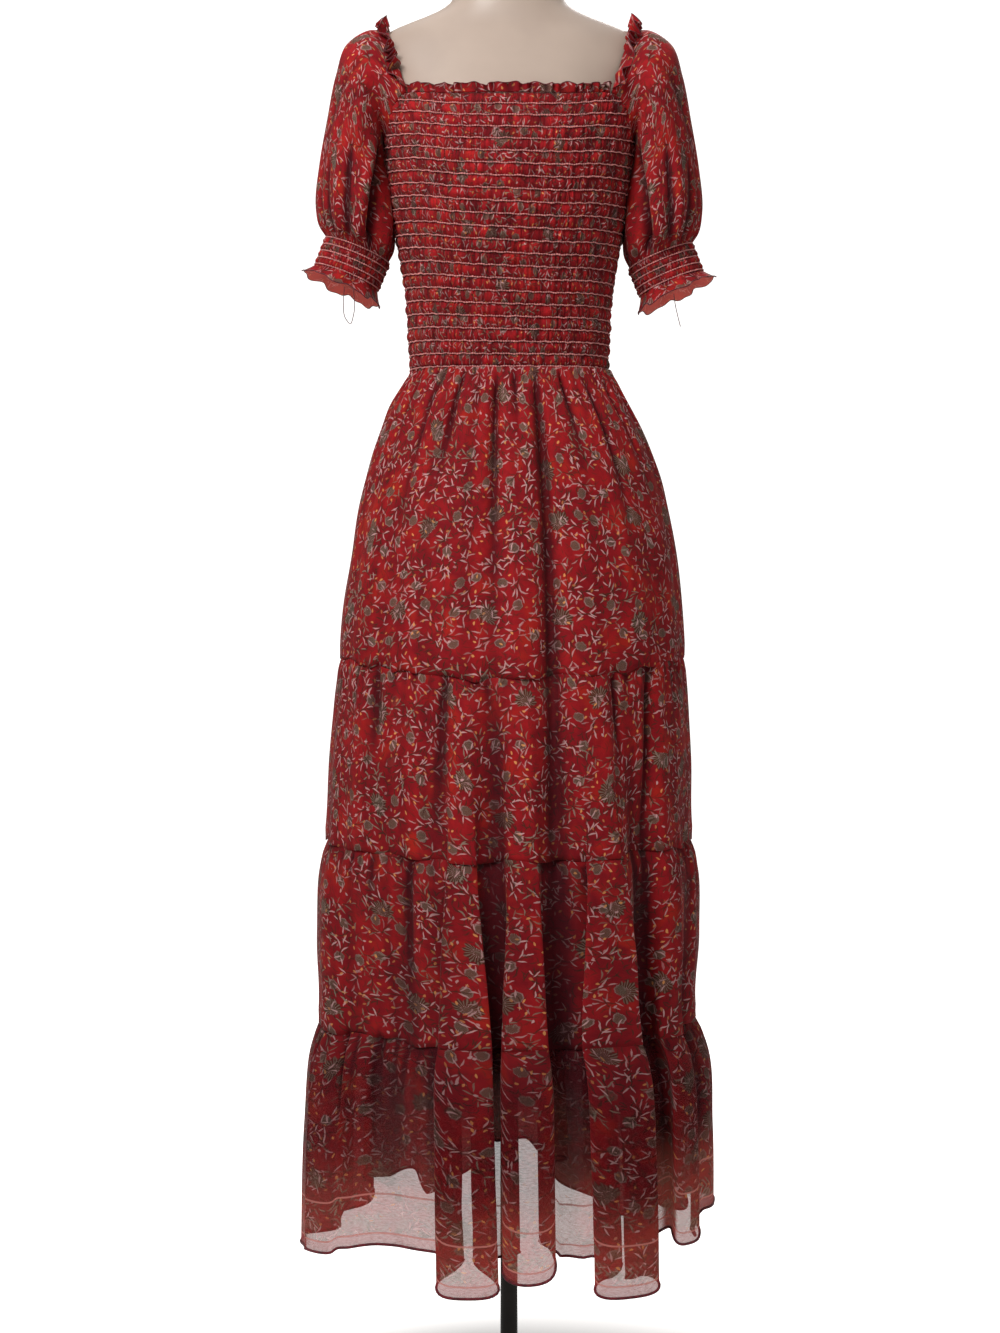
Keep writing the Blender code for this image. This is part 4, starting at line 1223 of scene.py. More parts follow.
class Wiring:
    """Adds nodes to one tree and joins them."""

    def __init__(self, tree):
        """Remembers the tree."""
        self.tree = tree

    def node(self, kind, **settings):
        """A node with its settings."""
        made = self.tree.nodes.new(kind)
        for name, value in settings.items():
            setattr(made, name, value)
        return made

    def feed(self, socket, value):
        """Joins an output to a socket, or sets the socket's value."""
        if isinstance(value, bpy.types.NodeSocket):
            self.tree.links.new(value, socket)
        elif value is not None:
            socket.default_value = value

    def fill(self, node, values):
        """Feeds several inputs of a node."""
        for place, value in values.items():
            self.feed(node.inputs[place], value)

    def made(self, kind, values, output=0, **settings):
        """One output of a node whose inputs are fed."""
        node = self.node(kind, **settings)
        self.fill(node, values)
        return node.outputs[output]

    def math(self, operation, *values):
        """One step of arithmetic with numbers."""
        return self.made("ShaderNodeMath", dict(enumerate(values)), operation=operation)

    def plus(self, first, second):
        """Their sum."""
        return self.math("ADD", first, second)

    def minus(self, first, second):
        """The first without the second."""
        return self.math("SUBTRACT", first, second)

    def times(self, first, second):
        """Their product."""
        return self.math("MULTIPLY", first, second)

    def vector(self, operation, *values):
        """One step of arithmetic with vectors."""
        return self.made("ShaderNodeVectorMath", dict(enumerate(values)), operation=operation)

    def parts(self, vector):
        """The X, Y and Z of a vector."""
        node = self.node("ShaderNodeSeparateXYZ")
        self.feed(node.inputs[0], vector)
        return node.outputs

    def scaled(self, vector, factor):
        """A vector made longer by a factor."""
        values = {"Vector": vector, "Scale": factor}
        return self.made("ShaderNodeVectorMath", values, operation="SCALE")

    def soft(self, value, low, high):
        """A soft rise from 0 at low to 1 at high."""
        values = {"Value": value, "From Min": low, "From Max": high}
        return self.made("ShaderNodeMapRange", values, interpolation_type="SMOOTHSTEP")

    def mix(self, share, first, second):
        """A colour between two, by a share of the second."""
        values = {0: share, 6: first, 7: second}
        return self.made("ShaderNodeMix", values, output=2, data_type="RGBA")

    def laid(self, colour, mask, strength, tone):
        """A colour with a tone laid over it where a mask says so."""
        return self.mix(self.times(mask, strength), colour, tone)

    def noise(self, vector, scale, detail=2.0, dimensions="2D"):
        """Soft random values over a place."""
        values = {"Vector": vector, "Scale": scale, "Detail": detail}
        return self.made("ShaderNodeTexNoise", values, noise_dimensions=dimensions)

    def group(self, tree, **values):
        """The outputs of a node group whose inputs are fed."""
        node = self.node("ShaderNodeGroup", node_tree=tree)
        for name, value in values.items():
            self.feed(node.inputs[name.replace("_", " ")], value)
        return node.outputs


def new_group(name, inputs, outputs, kind="ShaderNodeTree"):
    """An empty node group with named sockets."""
    tree = bpy.data.node_groups.new(name, kind)
    for label, socket, default in inputs:
        made = tree.interface.new_socket(label, in_out="INPUT", socket_type=socket)
        if default is not None:
            made.default_value = default
    for label, socket in outputs:
        tree.interface.new_socket(label, in_out="OUTPUT", socket_type=socket)
    wiring = Wiring(tree)
    source = wiring.node("NodeGroupInput").outputs
    sink = wiring.node("NodeGroupOutput").inputs
    return tree, wiring, source, sink


FLOAT = "NodeSocketFloat"
VECTOR = "NodeSocketVector"
COLOUR = "NodeSocketColor"


def motif_cell_group():
    """Scatters motifs: gives each place its offset from the nearest motif, turned at random."""
    tree, wiring, source, sink = new_group(
        "motif_cell",
        [("Cloth", VECTOR, None), ("Cell", FLOAT, 0.03), ("Shift", FLOAT, 0.0), ("Loose", FLOAT, 0.7)],
        [("Offset", VECTOR), ("Pick", FLOAT), ("Pick 2", FLOAT)],
    )
    shift = wiring.made("ShaderNodeCombineXYZ", {0: source["Shift"], 1: source["Shift"]})
    moved = wiring.vector("ADD", source["Cloth"], shift)
    place = wiring.vector("DIVIDE", moved, wiring.made("ShaderNodeCombineXYZ", {
        0: source["Cell"], 1: source["Cell"], 2: 1.0}))
    cells = wiring.node("ShaderNodeTexVoronoi", voronoi_dimensions="2D", feature="F1")
    wiring.fill(cells, {"Vector": place, "Scale": 1.0, "Randomness": source["Loose"]})
    off = wiring.vector("SUBTRACT", place, cells.outputs["Position"])
    metres = wiring.scaled(off, source["Cell"])
    parts = wiring.node("ShaderNodeSeparateColor")
    wiring.feed(parts.inputs[0], cells.outputs["Color"])
    turn = wiring.times(parts.outputs[0], FULL_TURN)
    turned = wiring.made("ShaderNodeVectorRotate", {"Vector": metres, "Angle": turn},
                         rotation_type="Z_AXIS")
    wiring.feed(sink["Offset"], turned)
    wiring.feed(sink["Pick"], parts.outputs[1])
    wiring.feed(sink["Pick 2"], parts.outputs[2])
    return tree


def leaf_group():
    """One slim pointed leaf stroke, bent a little, at a turn and a reach from its root."""
    tree, wiring, source, sink = new_group(
        "leaf_stroke",
        [("Offset", VECTOR, None), ("Root", VECTOR, None), ("Turn", FLOAT, 0.0), ("Reach", FLOAT, 0.006),
         ("Half Length", FLOAT, 0.006), ("Half Width", FLOAT, 0.0011), ("Bend", FLOAT, 0.12)],
        [("Mask", FLOAT)],
    )
    back = wiring.times(source["Turn"], -1.0)
    near = wiring.vector("SUBTRACT", source["Offset"], source["Root"])
    turned = wiring.made("ShaderNodeVectorRotate", {"Vector": near, "Angle": back},
                         rotation_type="Z_AXIS")
    parts = wiring.parts(turned)
    along = wiring.math("DIVIDE", wiring.minus(parts[0], source["Reach"]), source["Half Length"])
    square = wiring.times(along, along)
    bow = wiring.times(wiring.times(square, source["Bend"]), source["Half Length"])
    aside = wiring.math("ABSOLUTE", wiring.minus(parts[1], bow))
    size = wiring.plus(wiring.math("DIVIDE", aside, source["Half Width"]), square)
    wiring.feed(sink["Mask"], wiring.minus(1.0, wiring.soft(size, 0.70, 1.20)))
    return tree


Leaf = namedtuple("Leaf", "x y turn reach half_length half_width bend")
SPRIG = [
    Leaf(-0.0085, 0.0013, 152.0, 0.0044, 0.0046, 0.00078, 0.12),
    Leaf(-0.0064, 0.001, -138.0, 0.0048, 0.005, 0.00082, -0.12),
    Leaf(-0.0015, 0.0, 42.0, 0.0054, 0.0054, 0.00086, 0.16),
    Leaf(0.0015, 0.0, -30.0, 0.006, 0.006, 0.00086, -0.16),
    Leaf(0.0078, 0.0008, 14.0, 0.005, 0.005, 0.0008, 0.14),
]


def sprig_group(leaf_tree):
    """Five leaf strokes that fan out from one point, and the stem between them."""
    tree, wiring, source, sink = new_group(
        "sprig", [("Offset", VECTOR, None)], [("Leaves", FLOAT), ("Stem", FLOAT)])
    total = None
    for leaf in SPRIG:
        mask = wiring.group(
            leaf_tree, Offset=source["Offset"], Root=(leaf.x, leaf.y, 0.0),
            Turn=math.radians(leaf.turn), Reach=leaf.reach,
            Half_Length=leaf.half_length, Half_Width=leaf.half_width, Bend=leaf.bend)["Mask"]
        total = mask if total is None else wiring.math("MAXIMUM", total, mask)
    wiring.feed(sink["Leaves"], total)
    stem = wiring.group(leaf_tree, Offset=source["Offset"], Turn=0.2, Reach=0.0, Half_Length=0.0125,
                        Half_Width=0.0007, Bend=0.25)["Mask"]
    wiring.feed(sink["Stem"], stem)
    return tree


def bloom_group():
    """A round scalloped bloom: its whole face, its rim and its fine hatching."""
    tree, wiring, source, sink = new_group(
        "bloom",
        [("Offset", VECTOR, None), ("Radius", FLOAT, 0.006), ("Petals", FLOAT, 8.0),
         ("Scallop", FLOAT, 0.14), ("Open", FLOAT, 0.0)],
        [("Face", FLOAT), ("Rim", FLOAT), ("Hatch", FLOAT)],
    )
    x, y, _ = wiring.parts(source["Offset"])
    far = wiring.made("ShaderNodeVectorMath", {0: source["Offset"]}, output=1, operation="LENGTH")
    turn = wiring.math("ARCTAN2", y, x)
    petals = wiring.times(turn, wiring.times(source["Petals"], 0.5))
    lobe = wiring.math("ABSOLUTE", wiring.math("COSINE", petals))
    size = wiring.minus(1.0, wiring.times(source["Scallop"], wiring.minus(1.0, lobe)))
    edge = wiring.times(source["Radius"], size)
    share = wiring.math("DIVIDE", far, edge)
    face = wiring.minus(1.0, wiring.soft(share, 0.92, 1.06))
    cut_line = wiring.times(wiring.minus(source["Open"], 1.0), source["Radius"])
    cut = wiring.soft(wiring.minus(y, cut_line), -0.0004, 0.0006)
    face = wiring.times(face, cut)
    wiring.feed(sink["Face"], face)
    wiring.feed(sink["Rim"], wiring.times(face, wiring.soft(share, 0.70, 0.86)))
    rays = wiring.math("SINE", wiring.times(turn, 23.0))
    rays = wiring.soft(rays, -0.3, 0.7)
    wiring.feed(sink["Hatch"], wiring.times(face, rays))
    return tree


def print_group():
    """The scattered flower print: its colour, and where its ink lies over the ground."""
    tree, wiring, source, sink = new_group(
        "scattered_flower_print",
        [("Cloth", VECTOR, None), ("Ground", COLOUR, None), ("Deep", COLOUR, None),
         ("Warm", COLOUR, None), ("Leaf", COLOUR, None), ("Dash", COLOUR, None),
         ("Bud", COLOUR, None), ("Stem", COLOUR, None)],
        [("Color", COLOUR), ("Ink", FLOAT)],
    )
    cell_tree = motif_cell_group()
    leaf_tree = leaf_group()
    sprig_tree = sprig_group(leaf_tree)
    bloom_tree = bloom_group()
    cloth = source["Cloth"]
    wobble = wiring.made("ShaderNodeTexNoise", {"Vector": cloth, "Scale": 90.0}, output=1,
                         noise_dimensions="2D")
    shaken = wiring.vector("ADD", cloth, wiring.scaled(
        wiring.vector("SUBTRACT", wobble, (0.5, 0.5, 0.5)), 0.0035))
    zone = wiring.soft(wiring.noise(shaken, 21.0, 2.5), 0.40, 0.58)
    clear = wiring.minus(1.0, zone)
    clouds = wiring.soft(wiring.noise(cloth, 95.0, 3.0), 0.30, 0.70)
    dark = wiring.plus(wiring.times(zone, 0.36), wiring.times(clouds, 0.26))
    colour = wiring.mix(dark, source["Ground"], source["Deep"])
    patches = wiring.noise(wiring.vector("ADD", cloth, (3.1, 7.7, 0.0)), 30.0, 2.0)
    warm = wiring.times(wiring.soft(patches, 0.50, 0.72), wiring.times(clear, 0.55))
    colour = wiring.mix(warm, colour, source["Warm"])
    # Fine dark strokes that cloud the ground round the sprigs
    for cell, shift in ((0.0100, 6.31), (0.0125, 8.77)):
        place = wiring.group(cell_tree, Cloth=shaken, Cell=cell, Shift=shift, Loose=0.9)
        stroke = wiring.group(leaf_tree, Offset=place["Offset"], Reach=0.0, Half_Length=0.0050,
                              Half_Width=0.0008, Bend=0.3)["Mask"]
        share = wiring.times(stroke, wiring.plus(0.34, wiring.times(zone, 0.44)))
        colour = wiring.mix(share, colour, source["Stem"])
    # Fan flowers, far apart, with a ring of small light strokes at the heart
    fan = wiring.group(cell_tree, Cloth=shaken, Cell=0.092, Shift=0.31, Loose=0.60)
    fan_shape = wiring.group(bloom_tree, Offset=fan["Offset"], Radius=0.0136, Petals=11.0,
                             Scallop=0.22, Open=0.62)
    colour = wiring.laid(colour, fan_shape["Face"], 0.80, source["Stem"])
    colour = wiring.laid(colour, fan_shape["Hatch"], 0.60, source["Bud"])
    heart = wiring.group(bloom_tree, Offset=fan["Offset"], Radius=0.0060, Petals=9.0, Scallop=0.60)
    hearts = wiring.times(heart["Rim"], heart["Hatch"])
    colour = wiring.laid(colour, hearts, 0.8, source["Leaf"])
    # Buds
    bud = wiring.group(cell_tree, Cloth=shaken, Cell=0.034, Shift=1.73, Loose=0.75)
    drawn_out = wiring.vector("MULTIPLY", bud["Offset"], (1.0, 0.82, 1.0))
    bud_shape = wiring.group(bloom_tree, Offset=drawn_out, Radius=0.0056, Petals=7.0, Scallop=0.12)
    shown = wiring.soft(bud["Pick"], 0.26, 0.28)
    face = wiring.times(bud_shape["Face"], shown)
    hatch = wiring.times(bud_shape["Hatch"], shown)
    rim = wiring.times(wiring.times(bud_shape["Rim"], shown), clouds)
    colour = wiring.laid(colour, face, 0.75, source["Stem"])
    colour = wiring.laid(colour, hatch, 0.70, source["Bud"])
    colour = wiring.laid(colour, rim, 0.45, source["Leaf"])
    # Two scatters of sprigs, fuller where the ground is dark, and short dashes where it is clear
    ink = wiring.times(face, 0.6)
    ink = wiring.math("MAXIMUM", ink, wiring.times(fan_shape["Face"], 0.7))
    for cell, shift, low in ((0.0275, 0.57, 0.72), (0.0310, 2.91, 0.40)):
        place = wiring.group(cell_tree, Cloth=shaken, Cell=cell, Shift=shift, Loose=0.75)
        sprig = wiring.group(sprig_tree, Offset=place["Offset"])
        full = wiring.plus(low, wiring.times(zone, 0.95 - low))
        colour = wiring.laid(colour, sprig["Stem"], 0.7, source["Stem"])
        tone = wiring.mix(wiring.soft(place["Pick"], 0.68, 0.72), source["Leaf"], source["Bud"])
        leaves = wiring.times(sprig["Leaves"], full)
        colour = wiring.mix(leaves, colour, tone)
        ink = wiring.math("MAXIMUM", ink, leaves)
    dot = wiring.group(cell_tree, Cloth=shaken, Cell=0.0125, Shift=4.19, Loose=0.85)
    dash = wiring.group(leaf_tree, Offset=dot["Offset"], Reach=0.0, Half_Length=0.0024,
                        Half_Width=0.0012)["Mask"]
    dash = wiring.times(dash, wiring.soft(dot["Pick"], 0.28, 0.30))
    dash = wiring.times(dash, wiring.plus(0.45, wiring.times(clear, 0.50)))
    tone = wiring.mix(wiring.soft(dot["Pick 2"], 0.60, 0.65), source["Dash"], source["Leaf"])
    colour = wiring.mix(dash, colour, tone)
    wiring.feed(sink["Color"], colour)
    wiring.feed(sink["Ink"], wiring.math("MAXIMUM", ink, dash))
    return tree


def pucker_group():
    """Fine upright creases between two rows of shirring, different from row to row."""
    tree, wiring, source, sink = new_group(
        "shirring_creases", [("Cloth", VECTOR, None), ("Row", FLOAT, 0.0157), ("Width", FLOAT, 0.006)],
        [("Height", FLOAT), ("Shade", FLOAT)])
    x, y, _ = wiring.parts(source["Cloth"])
    rows = wiring.math("DIVIDE", y, source["Row"])
    line = wiring.math("FLOOR", rows)
    share = wiring.minus(rows, line)
    lean = wiring.times(share, 0.35)
    across = wiring.plus(wiring.math("DIVIDE", x, source["Width"]), lean)
    place = wiring.made("ShaderNodeCombineXYZ", {0: across, 1: wiring.times(line, 7.31)})
    bumps = wiring.noise(place, 1.0, 1.5)
    crossing = wiring.math("ABSOLUTE", wiring.minus(bumps, 0.5))
    crease = wiring.minus(1.0, wiring.soft(crossing, 0.0, 0.055))
    belly = wiring.math("SINE", wiring.times(share, math.pi))
    wiring.feed(sink["Height"], wiring.minus(wiring.times(bumps, belly), crease))
    # Painted shade in the creases and along the rows of thread
    rows_shade = wiring.minus(1.0, wiring.soft(belly, 0.05, 0.55))
    wiring.feed(sink["Shade"], wiring.math("MAXIMUM", wiring.times(crease, 0.8),
                                           wiring.times(rows_shade, 0.7)))
    return tree


def weave_group():
    """The crinkled plain weave of chiffon as a height, with a mask of its thicker yarns."""
    tree, wiring, source, sink = new_group(
        "chiffon_weave", [("Cloth", VECTOR, None)], [("Height", FLOAT), ("Slub", FLOAT)])
    crinkle = wiring.noise(wiring.vector("MULTIPLY", source["Cloth"], (1.0, 0.55, 1.0)), 420.0, 3.0)
    grain = wiring.noise(source["Cloth"], 1500.0, 1.0)
    height = wiring.plus(wiring.times(crinkle, 0.7), wiring.times(grain, 0.3))
    wiring.feed(sink["Height"], height)
    slub = wiring.noise(wiring.vector("MULTIPLY", source["Cloth"], (0.35, 1.0, 1.0)), 700.0, 2.0)
    wiring.feed(sink["Slub"], wiring.soft(slub, 0.35, 0.70))
    return tree


def border_group():
    """The two thin lines above the hem and the fringe of small leaves between them."""
    tree, wiring, source, sink = new_group(
        "hem_border", [("Cloth", VECTOR, None)],
        [("Line", FLOAT), ("Fringe", FLOAT), ("Band", FLOAT), ("Low", FLOAT), ("Upper", FLOAT)])
    x, rise, _ = wiring.parts(source["Cloth"])
    lines = None
    for height, half in ((0.0560, 0.0011), (0.0125, 0.0010)):
        off = wiring.math("ABSOLUTE", wiring.minus(rise, height))
        line = wiring.minus(1.0, wiring.soft(off, half * 0.5, half * 1.3))
        lines = line if lines is None else wiring.math("MAXIMUM", lines, line)
    wiring.feed(sink["Line"], lines)
    level = wiring.math("ABSOLUTE", wiring.minus(rise, 0.026))
    leaning = wiring.plus(x, wiring.times(level, 0.8))
    comb = wiring.math("SINE", wiring.times(leaning, FULL_TURN / 0.0052))
    low = wiring.soft(rise, 0.0135, 0.0160)
    high = wiring.minus(1.0, wiring.soft(rise, 0.032, 0.040))
    patch = wiring.soft(wiring.noise(source["Cloth"], 60.0, 2.0), 0.40, 0.55)
    fringe = wiring.times(wiring.soft(comb, -0.1, 0.6), wiring.times(low, high))
    wiring.feed(sink["Fringe"], wiring.times(fringe, patch))
    wiring.feed(sink["Band"], wiring.minus(1.0, wiring.soft(rise, 0.0115, 0.0135)))
    # Painted glow: where the lowest part of the hem is given a faint red glow, as if lit through
    wiring.feed(sink["Low"], wiring.minus(1.0, wiring.soft(rise, 0.04, 0.12)))
    wiring.feed(sink["Upper"], wiring.soft(rise, 0.165, 0.225))
    return tree


def shared_group(name, maker):
    """A node group that is made once."""
    return bpy.data.node_groups.get(name) or maker()


def rgba(colour):
    """A colour with full cover."""
    return (*colour, 1.0)


def new_material(name):
    """A material, the wiring of its nodes, and its shader."""
    material = bpy.data.materials.new(name)
    material.use_nodes = True
    return material, Wiring(material.node_tree), material.node_tree.nodes["Principled BSDF"]


# Each use of the chiffon: the setting with its cover, empty where no light comes through, how much
# painted light lifts its ground, its sheen and its bump
Use = namedtuple("Use", "cover ground_lift sheen bump")
USES = {
    "skirt": Use("", 1.0, 0.20, 0.30),
    "hem": Use("cover", 1.0, 0.20, 0.30),
    "hem_back": Use("back_cover", 1.0, 0.20, 0.30),
    "sleeve": Use("", 1.05, 0.20, 0.30),
    "header": Use("", 1.05, 0.20, 0.25),
    "frill": Use("", 1.20, 0.20, 0.25),
    "shirred": Use("", 1.45, 0.15, 0.60),
}


def chiffon_material(kind):
    """The printed chiffon as it is used in one part of the dress."""
    name = f"printed_chiffon_{kind}"
    if name in bpy.data.materials:
        return bpy.data.materials[name]
    chiffon = bpy.context.scene.dress_chiffon
    use = USES[kind]
    material, wiring, shader = new_material(name)
    cloth = wiring.node("ShaderNodeUVMap", uv_map="flat_cloth").outputs[0]
    tree = shared_group("scattered_flower_print", print_group)
    # Painted light: the ground is lighter on the parts that look brighter, such as the bodice and the
    # frills
    painted_lit_ground = [min(1.0, channel * use.ground_lift) for channel in chiffon.ground]
    flowers = wiring.group(
        tree, Cloth=cloth, Ground=rgba(painted_lit_ground), Deep=rgba(chiffon.deep), Warm=rgba(chiffon.glow),
        Leaf=rgba(chiffon.leaf), Dash=rgba(chiffon.dash), Bud=rgba(chiffon.bud), Stem=rgba(chiffon.stem))
    weave = wiring.group(shared_group("chiffon_weave", weave_group), Cloth=cloth)
    colour = flowers["Color"]
    if use.cover:
        cover = wiring.math("MULTIPLY_ADD", flowers["Ink"], 0.05, getattr(chiffon, use.cover))
        border = wiring.group(shared_group("hem_border", border_group), Cloth=cloth)
        plain = rgba((0.330, 0.030, 0.040))
        colour = wiring.laid(colour, border["Band"], 0.8, plain)
        colour = wiring.laid(colour, border["Fringe"], 0.7, rgba(chiffon.bud))
        colour = wiring.mix(border["Line"], colour, rgba((0.600, 0.220, 0.190)))
        cover = wiring.plus(cover, wiring.times(border["Line"], 0.2))
        # Painted glow: a faint red light in the lowest part of the hem, as if lit through the cloth
        shader.inputs["Emission Color"].default_value = (1.000, 0.300, 0.200, 1.0)
        wiring.feed(shader.inputs["Emission Strength"], wiring.times(border["Low"], 0.06))
        under = wiring.node("ShaderNodeAttribute", attribute_name="turned_under").outputs["Fac"]
        under = wiring.math("MAXIMUM", under, border["Upper"])
        more = max(0.0, chiffon.under_cover - getattr(chiffon, use.cover))
        cover = wiring.plus(cover, wiring.times(under, more))
        slub = wiring.times(wiring.minus(weave["Slub"], 0.5), 0.06)
        cover = wiring.math("MINIMUM", wiring.plus(cover, slub), 1.0)
        wiring.feed(shader.inputs["Alpha"], cover)
    height = weave["Height"]
    if kind == "shirred":
        creases = wiring.group(shared_group("shirring_creases", pucker_group), Cloth=cloth)
        height = wiring.plus(wiring.times(creases["Height"], 3.0), height)
        # Painted shade in the fine creases of the shirring
        colour = wiring.laid(colour, creases["Shade"], 0.30, rgba(chiffon.stem))
    inner = wiring.node("ShaderNodeAttribute", attribute_name="inner_face").outputs["Fac"]
    # Painted light: the inner face of the frills is lighter red and glows faintly, as if lit through the
    # cloth
    if kind == "frill":
        colour = wiring.laid(colour, inner, 0.48, (1.000, 0.260, 0.210, 1.0))
        shader.inputs["Emission Color"].default_value = (1.000, 0.150, 0.110, 1.0)
        wiring.feed(shader.inputs["Emission Strength"], wiring.times(inner, 0.09))
    # Painted shade in the folds, hollows and overhangs, from the mark on each point
    folds = wiring.node("ShaderNodeAttribute", attribute_name="fold_shade").outputs["Fac"]
    colour = wiring.laid(colour, folds, 0.86, (0.030, 0.003, 0.006, 1.0))
    bump = wiring.made("ShaderNodeBump", {"Height": height, "Strength": use.bump, "Distance": 0.0006})
    wiring.fill(shader, {
        "Base Color": colour, "Normal": bump,
        "Roughness": wiring.plus(0.72, wiring.times(weave["Slub"], 0.15)),
        "Specular IOR Level": 0.10, "Sheen Weight": use.sheen * 0.4,
        "Sheen Roughness": 0.45, "Sheen Tint": (0.9, 0.55, 0.50, 1.0)})
    return material


def sewn_material(name, colour, deep, size):
    """A twisted thread or a rolled edge: two tones that change along it, with a fine twist."""
    if name in bpy.data.materials:
        return bpy.data.materials[name]
    material, wiring, shader = new_material(name)
    place = wiring.node("ShaderNodeTexCoord").outputs["Object"]
    tone = wiring.noise(place, 1.0 / size, 3.0, "3D")
    tones = wiring.mix(wiring.soft(tone, 0.35, 0.65), rgba(deep), rgba(colour))
    twist = wiring.noise(place, 1800.0, 2.0, "3D")
    bump = wiring.made("ShaderNodeBump", {"Height": twist, "Strength": 0.35, "Distance": 0.0003})
    wiring.fill(shader, {"Base Color": tones, "Normal": bump, "Roughness": 0.70,
                         "Specular IOR Level": 0.25, "Sheen Weight": 0.2})
    return material


# Stitches and rolled edges by geometry nodes


def line_tree(name, extra):
    """The start of a tree that works along lines: its sockets, and the lines as curves."""
    inputs = [("Lines", "NodeSocketGeometry", None), *extra, ("Finish", "NodeSocketMaterial", None)]
    tree, wiring, source, sink = new_group(name, inputs, [("Sewn", "NodeSocketGeometry")],
                                           "GeometryNodeTree")
    curves = wiring.made("GeometryNodeMeshToCurve", {"Mesh": source["Lines"]})
    return tree, wiring, source, sink, curves


def close_tree(wiring, source, sink, made):
    """The end of such a tree: real geometry, shaded smooth, with its finish."""
    real = wiring.made("GeometryNodeRealizeInstances", {0: made})
    smooth = wiring.made("GeometryNodeSetShadeSmooth", {"Geometry": real})
    done = wiring.made("GeometryNodeSetMaterial", {"Geometry": smooth, "Material": source["Finish"]})
    wiring.feed(sink["Sewn"], done)


def stitch_tree():
    """Short stitches end to end along lines."""
    name = "row_of_stitches"
    if name in bpy.data.node_groups:
        return bpy.data.node_groups[name]
    extra = [("Stitch", FLOAT, 0.003), ("Radius", FLOAT, 0.0006), ("Seed", "NodeSocketInt", 4)]
    tree, wiring, source, sink, curves = line_tree(name, extra)
    points = wiring.node("GeometryNodeCurveToPoints", mode="LENGTH")
    wiring.fill(points, {"Curve": curves, "Length": source["Stitch"]})
    ball = wiring.made("GeometryNodeMeshIcoSphere", {"Radius": 1.0, "Subdivisions": 1})
    turn = wiring.made("FunctionNodeAlignRotationToVector", {"Vector": points.outputs["Tangent"]},
                       axis="Z")
    even = wiring.node("FunctionNodeRandomValue", data_type="FLOAT")
    wiring.fill(even, {2: 0.75, 3: 1.25, "Seed": source["Seed"]})
    thick = wiring.times(source["Radius"], even.outputs[1])
    long = wiring.times(source["Stitch"], 0.56)
    size = wiring.made("ShaderNodeCombineXYZ", {0: thick, 1: thick, 2: long})
    placed = wiring.made("GeometryNodeInstanceOnPoints", {
        "Points": points.outputs["Points"], "Instance": ball, "Rotation": turn, "Scale": size})
    close_tree(wiring, source, sink, placed)
    return tree


def roll_tree():
    """A round rolled edge along lines."""
    name = "rolled_edge"
    if name in bpy.data.node_groups:
        return bpy.data.node_groups[name]
    extra = [("Radius", FLOAT, 0.001), ("Sides", "NodeSocketInt", 6)]
    tree, wiring, source, sink, curves = line_tree(name, extra)
    ring = wiring.made("GeometryNodeCurvePrimitiveCircle", {
        "Resolution": source["Sides"], "Radius": source["Radius"]})
    tube = wiring.made("GeometryNodeCurveToMesh", {"Curve": curves, "Profile Curve": ring,
                                                   "Fill Caps": True})
    close_tree(wiring, source, sink, tube)
    return tree


def sewn_piece(name, lines, tree, material, closed=False, **values):
    """Runs a tree along lines of points and keeps the result as a plain mesh."""
    mesh = bpy.data.meshes.new(f"{name}_lines")
    points = []
    edges = []
    for line in lines:
        first = len(points)
        points.extend(line.tolist())
        edges.extend((first + step, first + step + 1) for step in range(len(line) - 1))
        if closed:
            edges.append((len(points) - 1, first))
    mesh.from_pydata(points, edges, [])
    thing = placed(name, mesh)
    sewing = thing.modifiers.new("sewing", "NODES")
    sewing.node_group = tree
    names = {item.name: item.identifier for item in tree.interface.items_tree
             if item.item_type == "SOCKET" and item.in_out == "INPUT"}
    sewing[names["Finish"]] = material
    for label, value in values.items():
        sewing[names[label]] = value
    ready = thing.evaluated_get(bpy.context.evaluated_depsgraph_get())
    plain = bpy.data.meshes.new_from_object(ready)
    thing.modifiers.clear()
    thing.data = plain
    if not len(plain.polygons):
        raise RuntimeError(f"{name} came out empty")
    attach(thing, "root")
    return thing


# Form and stand


def closed_lump(name, grid, material):
    """A closed solid from rings of points, drawn together to a point at each end."""
    columns = grid.shape[1]
    mesh = bmesh.new()
    rings = [[mesh.verts.new(point) for point in line] for line in grid]
    for upper, lower in zip(rings, rings[1:]):
        for step in range(columns):
            after = (step + 1) % columns
            mesh.faces.new((upper[step], lower[step], lower[after], upper[after]))
    for ring in (rings[0], rings[-1]):
        middle = sum((vert.co for vert in ring[1:]), ring[0].co.copy()) / columns
        pole = mesh.verts.new(middle)
        for step in range(columns):
            mesh.faces.new((ring[step], ring[(step + 1) % columns], pole))
    bmesh.ops.recalc_face_normals(mesh, faces=mesh.faces)
    data = bpy.data.meshes.new(name)
    mesh.to_mesh(data)
    mesh.free()
    data.materials.append(material)
    data.shade_smooth()
    data.set_sharp_from_angle(angle=math.radians(50.0))
    return placed(name, data)


def form_material():
    """Cream moulded form with a soft gloss, faint mottling and slight wear."""
    material, wiring, shader = new_material("cream_moulded_form")
    place = wiring.node("ShaderNodeTexCoord").outputs["Object"]
    broad = wiring.noise(place, 9.0, 3.0, "3D")
    mottled = wiring.soft(broad, 0.3, 0.7)
    colour = wiring.mix(mottled, (0.430, 0.330, 0.268, 1.0), (0.500, 0.388, 0.316, 1.0))
    grain = wiring.noise(place, 420.0, 3.0, "3D")
    rough = wiring.plus(0.36, wiring.times(grain, 0.16))
    bump = wiring.made("ShaderNodeBump", {"Height": grain, "Strength": 0.08, "Distance": 0.0005})
    wiring.fill(shader, {"Base Color": colour, "Roughness": rough, "Normal": bump,
                         "Coat Weight": 0.15, "Coat Roughness": 0.25})
    return material


